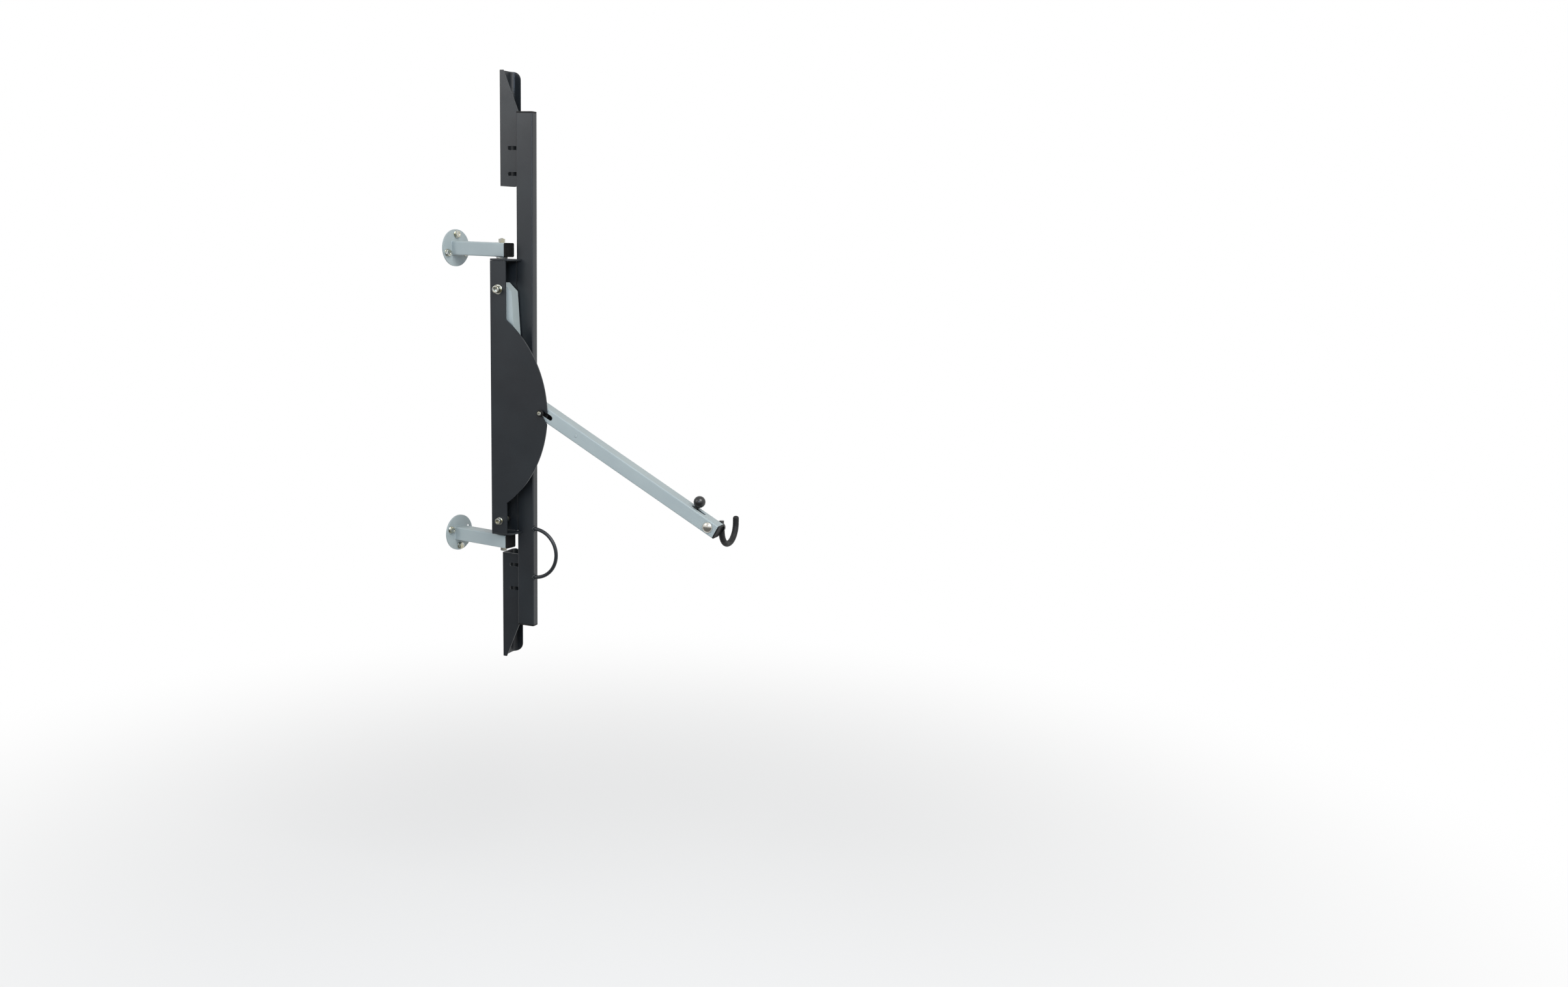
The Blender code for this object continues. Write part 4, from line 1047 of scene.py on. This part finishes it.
class BIKELIFT_OT_hook(Operator):
    """Bends the hook's rubber sleeve, dresses its bar and makes its domed bolt and the nut"""

    bl_idname = "bikelift.hook"
    bl_label = "Hook"

    def sleeve(self):
        """The sleeve's path and radii, from its cuff round the bend to its domed tip."""
        low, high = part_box("hook_sleeve")
        outer = (high.x - low.x) / 2
        cuff_edge, step = 0.0006, 0.0012
        near, far, deep = low.y + outer, high.y - outer, low.z + outer
        middle = (low.x + high.x) / 2
        bend = 0.97 * (far - near) / 2
        points = [v.co for v in nodes["hook_sleeve"].data.vertices]
        cuff = Vector((middle, near, max(p.z for p in points if p.y < near + outer)))
        curve = []
        for k in range(25):
            angle = pi / 2 * k / 24
            y, z = near + bend * (1 - cos(angle)), deep + bend * (1 - sin(angle))
            curve.append(Vector((middle, y, z)))
        curve += [Vector((middle, near + far - p.y, p.z)) for p in reversed(curve)]
        tip = Vector((middle, far, high.z))
        crown = 0.8 * outer
        path = spaced([cuff, *curve, tip - UP * crown], step)
        radii = [outer - cuff_edge] + [outer] * (len(path) - 1)
        for k in range(1, 17):
            angle = pi / 2 * k / 16.5
            path.append(tip - UP * crown * (1 - sin(angle)))
            radii.append(outer * cos(angle))
        return path, radii

    def execute(self, context):
        path, radii = self.sleeve()
        dress("rubber_sleeve", bar(path, OUT, radii, sides=40), "hook_sleeve")
        recoat("hook", "hook_lug", sizes().forged_edge)

        low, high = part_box("hook_bolt")
        # The dome's radius, how far it swells, its rim, the rim's height and its whole height.
        radius, rise, rim, band, above = 0.0112, 0.0052, 0.0003, 0.0008, 0.006
        outline = [(M8 / 2, low.y + above - high.y), (M8 / 2, 0)]
        outline += [(radius - rim, 0), (radius, rim)]
        for k in range(13):
            angle = pi / 2 * k / 12.5
            outline.append((radius * cos(angle), band + rise * sin(angle)))
        dome = loft([round_ring(*place, FINE_SIDES) for place in outline])
        fit("hook_dome", dome, "hook_bolt", VIEWER, above)
        nut = hex_nut(M8_HEAD, M8_NUT, M8 + NUT_PLAY, M8_WASHER)
        fit("hook_locknut", nut, "hook_nut", -VIEWER, M8_NUT + M8_WASHER[1])
        return {"FINISHED"}


class BIKELIFT_OT_latch(Operator):
    """Turns the pull knob and the latch pin, and finishes the sliding pieces in the tube"""

    bl_idname = "bikelift.latch"
    bl_label = "Latch"

    def execute(self, context):
        rise = Vector((-TUBE_AXIS.z, 0, TUBE_AXIS.x))
        radius = 0.0125
        ball = seat_of("pull_knob", rise, 0.0) - rise * radius
        stem_foot = min((v.co - ball).dot(rise) for v in nodes["pull_knob"].data.vertices)
        neck = sizes().knob_neck / 2
        # The neck ends 0.6 mm above the tube, in whose slot the stem slides.
        neck_foot, neck_edge = -0.0154, 0.0004
        outline = [(M8 / 2, stem_foot), (M8 / 2, neck_foot), (neck - neck_edge, neck_foot)]
        outline += [(neck, neck_foot + neck_edge), (neck, -radius + 0.0011)]
        for k in range(8, 60):
            angle = -pi / 2 + pi * k / 60
            # The two halves of the mould leave a fine seam.
            seam = 0.00012 * exp(-(angle / 0.03) ** 2)
            outline.append(((radius + seam) * cos(angle), radius * sin(angle)))
        knob = loft([round_ring(*place, FINE_SIDES) for place in outline])
        gloss = new_finish("tumbled_phenolic_black", tumbled_phenolic)
        fit("ball_knob", knob, "pull_knob", rise, radius, finish=gloss)

        recoat("latch_pin", "latch_head", edge=0.0005, steps=3)
        wide, head, shank, socket = 0.009, 0.0028, 0.005, 0.0035
        low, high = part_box("latch_screw")
        screw = socket_bolt(wide, head, shank, high.y - low.y - head, socket, knurl=False)
        fit("latch_button", screw, "latch_screw", VIEWER, head)
        refinish("latch_slider", "knob_block", "latch_rod", "spring_stop")

        # The spring stands on its stop in the arm. The slider presses it together as it is pulled.
        levels = [v.co.dot(TUBE_AXIS) for v in nodes["latch_spring"].data.vertices]
        foot = seat_of("latch_spring", TUBE_AXIS, 0.0)
        size = max(levels) - min(levels)
        mesh = coil(foot - TUBE_AXIS * size, foot, radius=0.0064, wire=0.0006, turns=9)
        spring = dress("return_spring", mesh, "latch_spring", body=nodes["lift_tube"]["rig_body"])
        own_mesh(spring)
        recoat("stop_rivet", "stop_rivet_head", edge=0.0002)
        return {"FINISHED"}


class BIKELIFT_OT_gas_spring(Operator):
    """Dresses the gas spring's eyes, cylinder, rod and pin"""

    bl_idname = "bikelift.gas_spring"
    bl_label = "Gas spring"

    def execute(self, context):
        for node, name, edge in (
            ("rod_eye", "rod_eye_end", sizes().forged_edge),
            ("cylinder_eye", "cylinder_eye_end", sizes().forged_edge),
            ("gas_cylinder", "gas_tube", sizes().tube_edge),
            ("gas_rod", "piston_rod", sizes().turned_edge),
            ("spring_pin", "eye_pin", sizes().turned_edge),
        ):
            recoat(node, name, edge)
        return {"FINISHED"}


class BIKELIFT_OT_stage(Operator):
    """Lays the floor and sets the light and the camera"""

    bl_idname = "bikelift.stage"
    bl_label = "Studio"

    def set_sky(self, scene):
        """Lights all around evenly. Reflections show white behind the lift and a dimmer room."""
        world = bpy.data.worlds.new("plain_studio")
        scene.world = world
        world.use_nodes = True
        tree = world.node_tree
        sky = tree.nodes["Background"]
        fill(tree, sky, {"Color": WHITE, "Strength": studio().sky_strength})
        rays = add(tree, "LightPath").outputs
        glossy = rays["Is Glossy Ray"]
        seen = add(tree, "Math", {0: rays["Is Camera Ray"], 1: glossy}, operation="MAXIMUM")
        through = {0: seen, 1: rays["Is Transmission Ray"]}
        shown = add(tree, "Math", through, operation="MAXIMUM")
        place = add(tree, "TexCoord").outputs["Generated"]
        way = add(tree, "SeparateXYZ", {0: place}).outputs
        front = {"Value": way["Y"], "From Min": 0.3, "From Max": -0.6}
        before = add(tree, "MapRange", front, interpolation_type="SMOOTHSTEP")
        foot = {"Value": way["Z"], "From Min": 0.08, "From Max": -0.20, "To Min": 0.1}
        below = add(tree, "MapRange", foot, interpolation_type="SMOOTHSTEP")
        room = add(tree, "Math", {0: before, 1: below}, operation="MULTIPLY")
        mirrored = add(tree, "Math", {0: room, 1: glossy}, operation="MULTIPLY")
        dimming = {0: mirrored, 1: -studio().dim_front, 2: 1.0}
        dimmed = add(tree, "Math", dimming, operation="MULTIPLY_ADD")
        white = add(tree, "Background", {"Color": WHITE, "Strength": dimmed})
        both = add(tree, "MixShader", {0: shown, 1: sky, 2: white})
        fill(tree, tree.nodes["World Output"], {"Surface": both})

    def lay_floor(self, scene):
        """Lays a pale round floor that fades to white away from the lift."""
        middle = (*FLOOR_MIDDLE, solid_box[0][2] - studio().floor_drop)
        mesh = bmesh.new()
        rim = round_ring(FLOOR_RADIUS, 0, sides=96)
        mesh.faces.new([mesh.verts.new(point) for point in rim])
        bmesh.ops.translate(mesh, vec=Vector(middle), verts=mesh.verts)
        data = bpy.data.meshes.new("studio_floor")
        mesh.to_mesh(data)
        mesh.free()
        floor = bpy.data.objects.new("studio_floor", data)
        scene.collection.objects.link(floor)
        floor.visible_glossy = False
        finish = new_finish("studio_paper_white", paper)
        tree = finish.node_tree
        place = tree.nodes["Texture Coordinate"].outputs["Object"]
        away = add(tree, "VectorMath", {0: place, 1: middle}, operation="DISTANCE")
        fade = {"Value": away.outputs["Value"], "From Min": 0.6, "From Max": 2.6, "To Min": 0.45}
        faded = add(tree, "MapRange", fade, interpolation_type="SMOOTHSTEP")
        seen = add(tree, "LightPath").outputs["Is Camera Ray"]
        share = add(tree, "Math", {0: faded, 1: seen}, operation="MULTIPLY")
        glow = add(tree, "Emission", {"Color": WHITE, "Strength": 1.0})
        matt = tree.nodes["Principled BSDF"]
        both = add(tree, "MixShader", {0: share, 1: matt, 2: glow})
        fill(tree, tree.nodes["Material Output"], {"Surface": both})
        data.materials.append(finish)

    def hang_lamps(self, scene):
        """Hangs the round soft lamps around the camera's side."""
        for name, spot, watts, size, tint in (
            ("key_light", (2.4, -1.5, 1.9), studio().key_power, 2.6, WHITE[:3]),
            ("fill_light", (-1.7, -2.6, 1.2), studio().fill_power, 1.6, WHITE[:3]),
            ("window_light", (1.5, -3.6, 0.9), studio().window_power, 0.9, studio().window_colour),
        ):
            lamp = bpy.data.lights.new(name, "AREA")
            lamp.shape = "DISK"
            lamp.size = size
            lamp.energy = watts
            lamp.color = tint
            light = bpy.data.objects.new(name, lamp)
            light.location = spot
            aim = LAMP_TARGET - Vector(spot)
            light.rotation_euler = aim.to_track_quat("-Z", "Y").to_euler()
            scene.collection.objects.link(light)

    def set_camera(self, scene):
        """Sets the camera at the photograph's viewing angle."""
        lens = bpy.data.cameras.new("photo_view")
        lens.sensor_width = CAMERA_SENSOR
        lens.lens = CAMERA_LENS
        camera = bpy.data.objects.new("photo_view", lens)
        level = CAMERA_FORWARD.to_track_quat("-Z", "Y").to_matrix()
        turn = level @ Matrix.Rotation(CAMERA_ROLL, 3, "Z")
        camera.matrix_world = Matrix.Translation(CAMERA_PLACE) @ turn.to_4x4()
        scene.collection.objects.link(camera)
        scene.camera = camera

    def execute(self, context):
        context.scene.view_settings.view_transform = "Standard"
        self.set_sky(context.scene)
        self.lay_floor(context.scene)
        self.hang_lamps(context.scene)
        self.set_camera(context.scene)
        return {"FINISHED"}


OPERATORS = (
    BIKELIFT_OT_stage,
    BIKELIFT_OT_wall_brackets,
    BIKELIFT_OT_wall_bolts,
    BIKELIFT_OT_swivel_joints,
    BIKELIFT_OT_housing,
    BIKELIFT_OT_cross_bolts,
    BIKELIFT_OT_rail,
    BIKELIFT_OT_troughs,
    BIKELIFT_OT_trough_screws,
    BIKELIFT_OT_lock_loop,
    BIKELIFT_OT_lift_arm,
    BIKELIFT_OT_hook,
    BIKELIFT_OT_latch,
    BIKELIFT_OT_gas_spring,
)


class BIKELIFT_PT_pieces(Panel):
    """Lists the sizes, colours and pieces of the bike lift"""

    bl_label = "Bike Lift"
    bl_idname = "BIKELIFT_PT_pieces"
    bl_space_type = "VIEW_3D"
    bl_region_type = "UI"
    bl_category = "Bike Lift"

    def draw(self, context):
        for title, group in (("Colours", colours()), ("Sizes", sizes()), ("Studio", studio())):
            box = self.layout.box()
            box.label(text=title)
            for name in group.__annotations__:
                box.prop(group, name)
        for operator in OPERATORS:
            self.layout.operator(operator.bl_idname)


GROUPS = {
    "bike_lift_colours": LiftColours,
    "bike_lift_sizes": LiftSizes,
    "bike_lift_studio": StudioSettings,
}


def register():
    for name, group in GROUPS.items():
        bpy.utils.register_class(group)
        setattr(bpy.types.Scene, name, PointerProperty(type=group))
    for item in (*OPERATORS, BIKELIFT_PT_pieces):
        bpy.utils.register_class(item)


def unregister():
    for item in reversed((*OPERATORS, BIKELIFT_PT_pieces)):
        bpy.utils.unregister_class(item)
    for name, group in reversed(GROUPS.items()):
        delattr(bpy.types.Scene, name)
        bpy.utils.unregister_class(group)


def main():
    """Registers the add-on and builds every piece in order."""
    register()
    for operator in OPERATORS:
        module, name = operator.bl_idname.split(".")
        getattr(getattr(bpy.ops, module), name)()


if __name__ == "__main__":
    main()
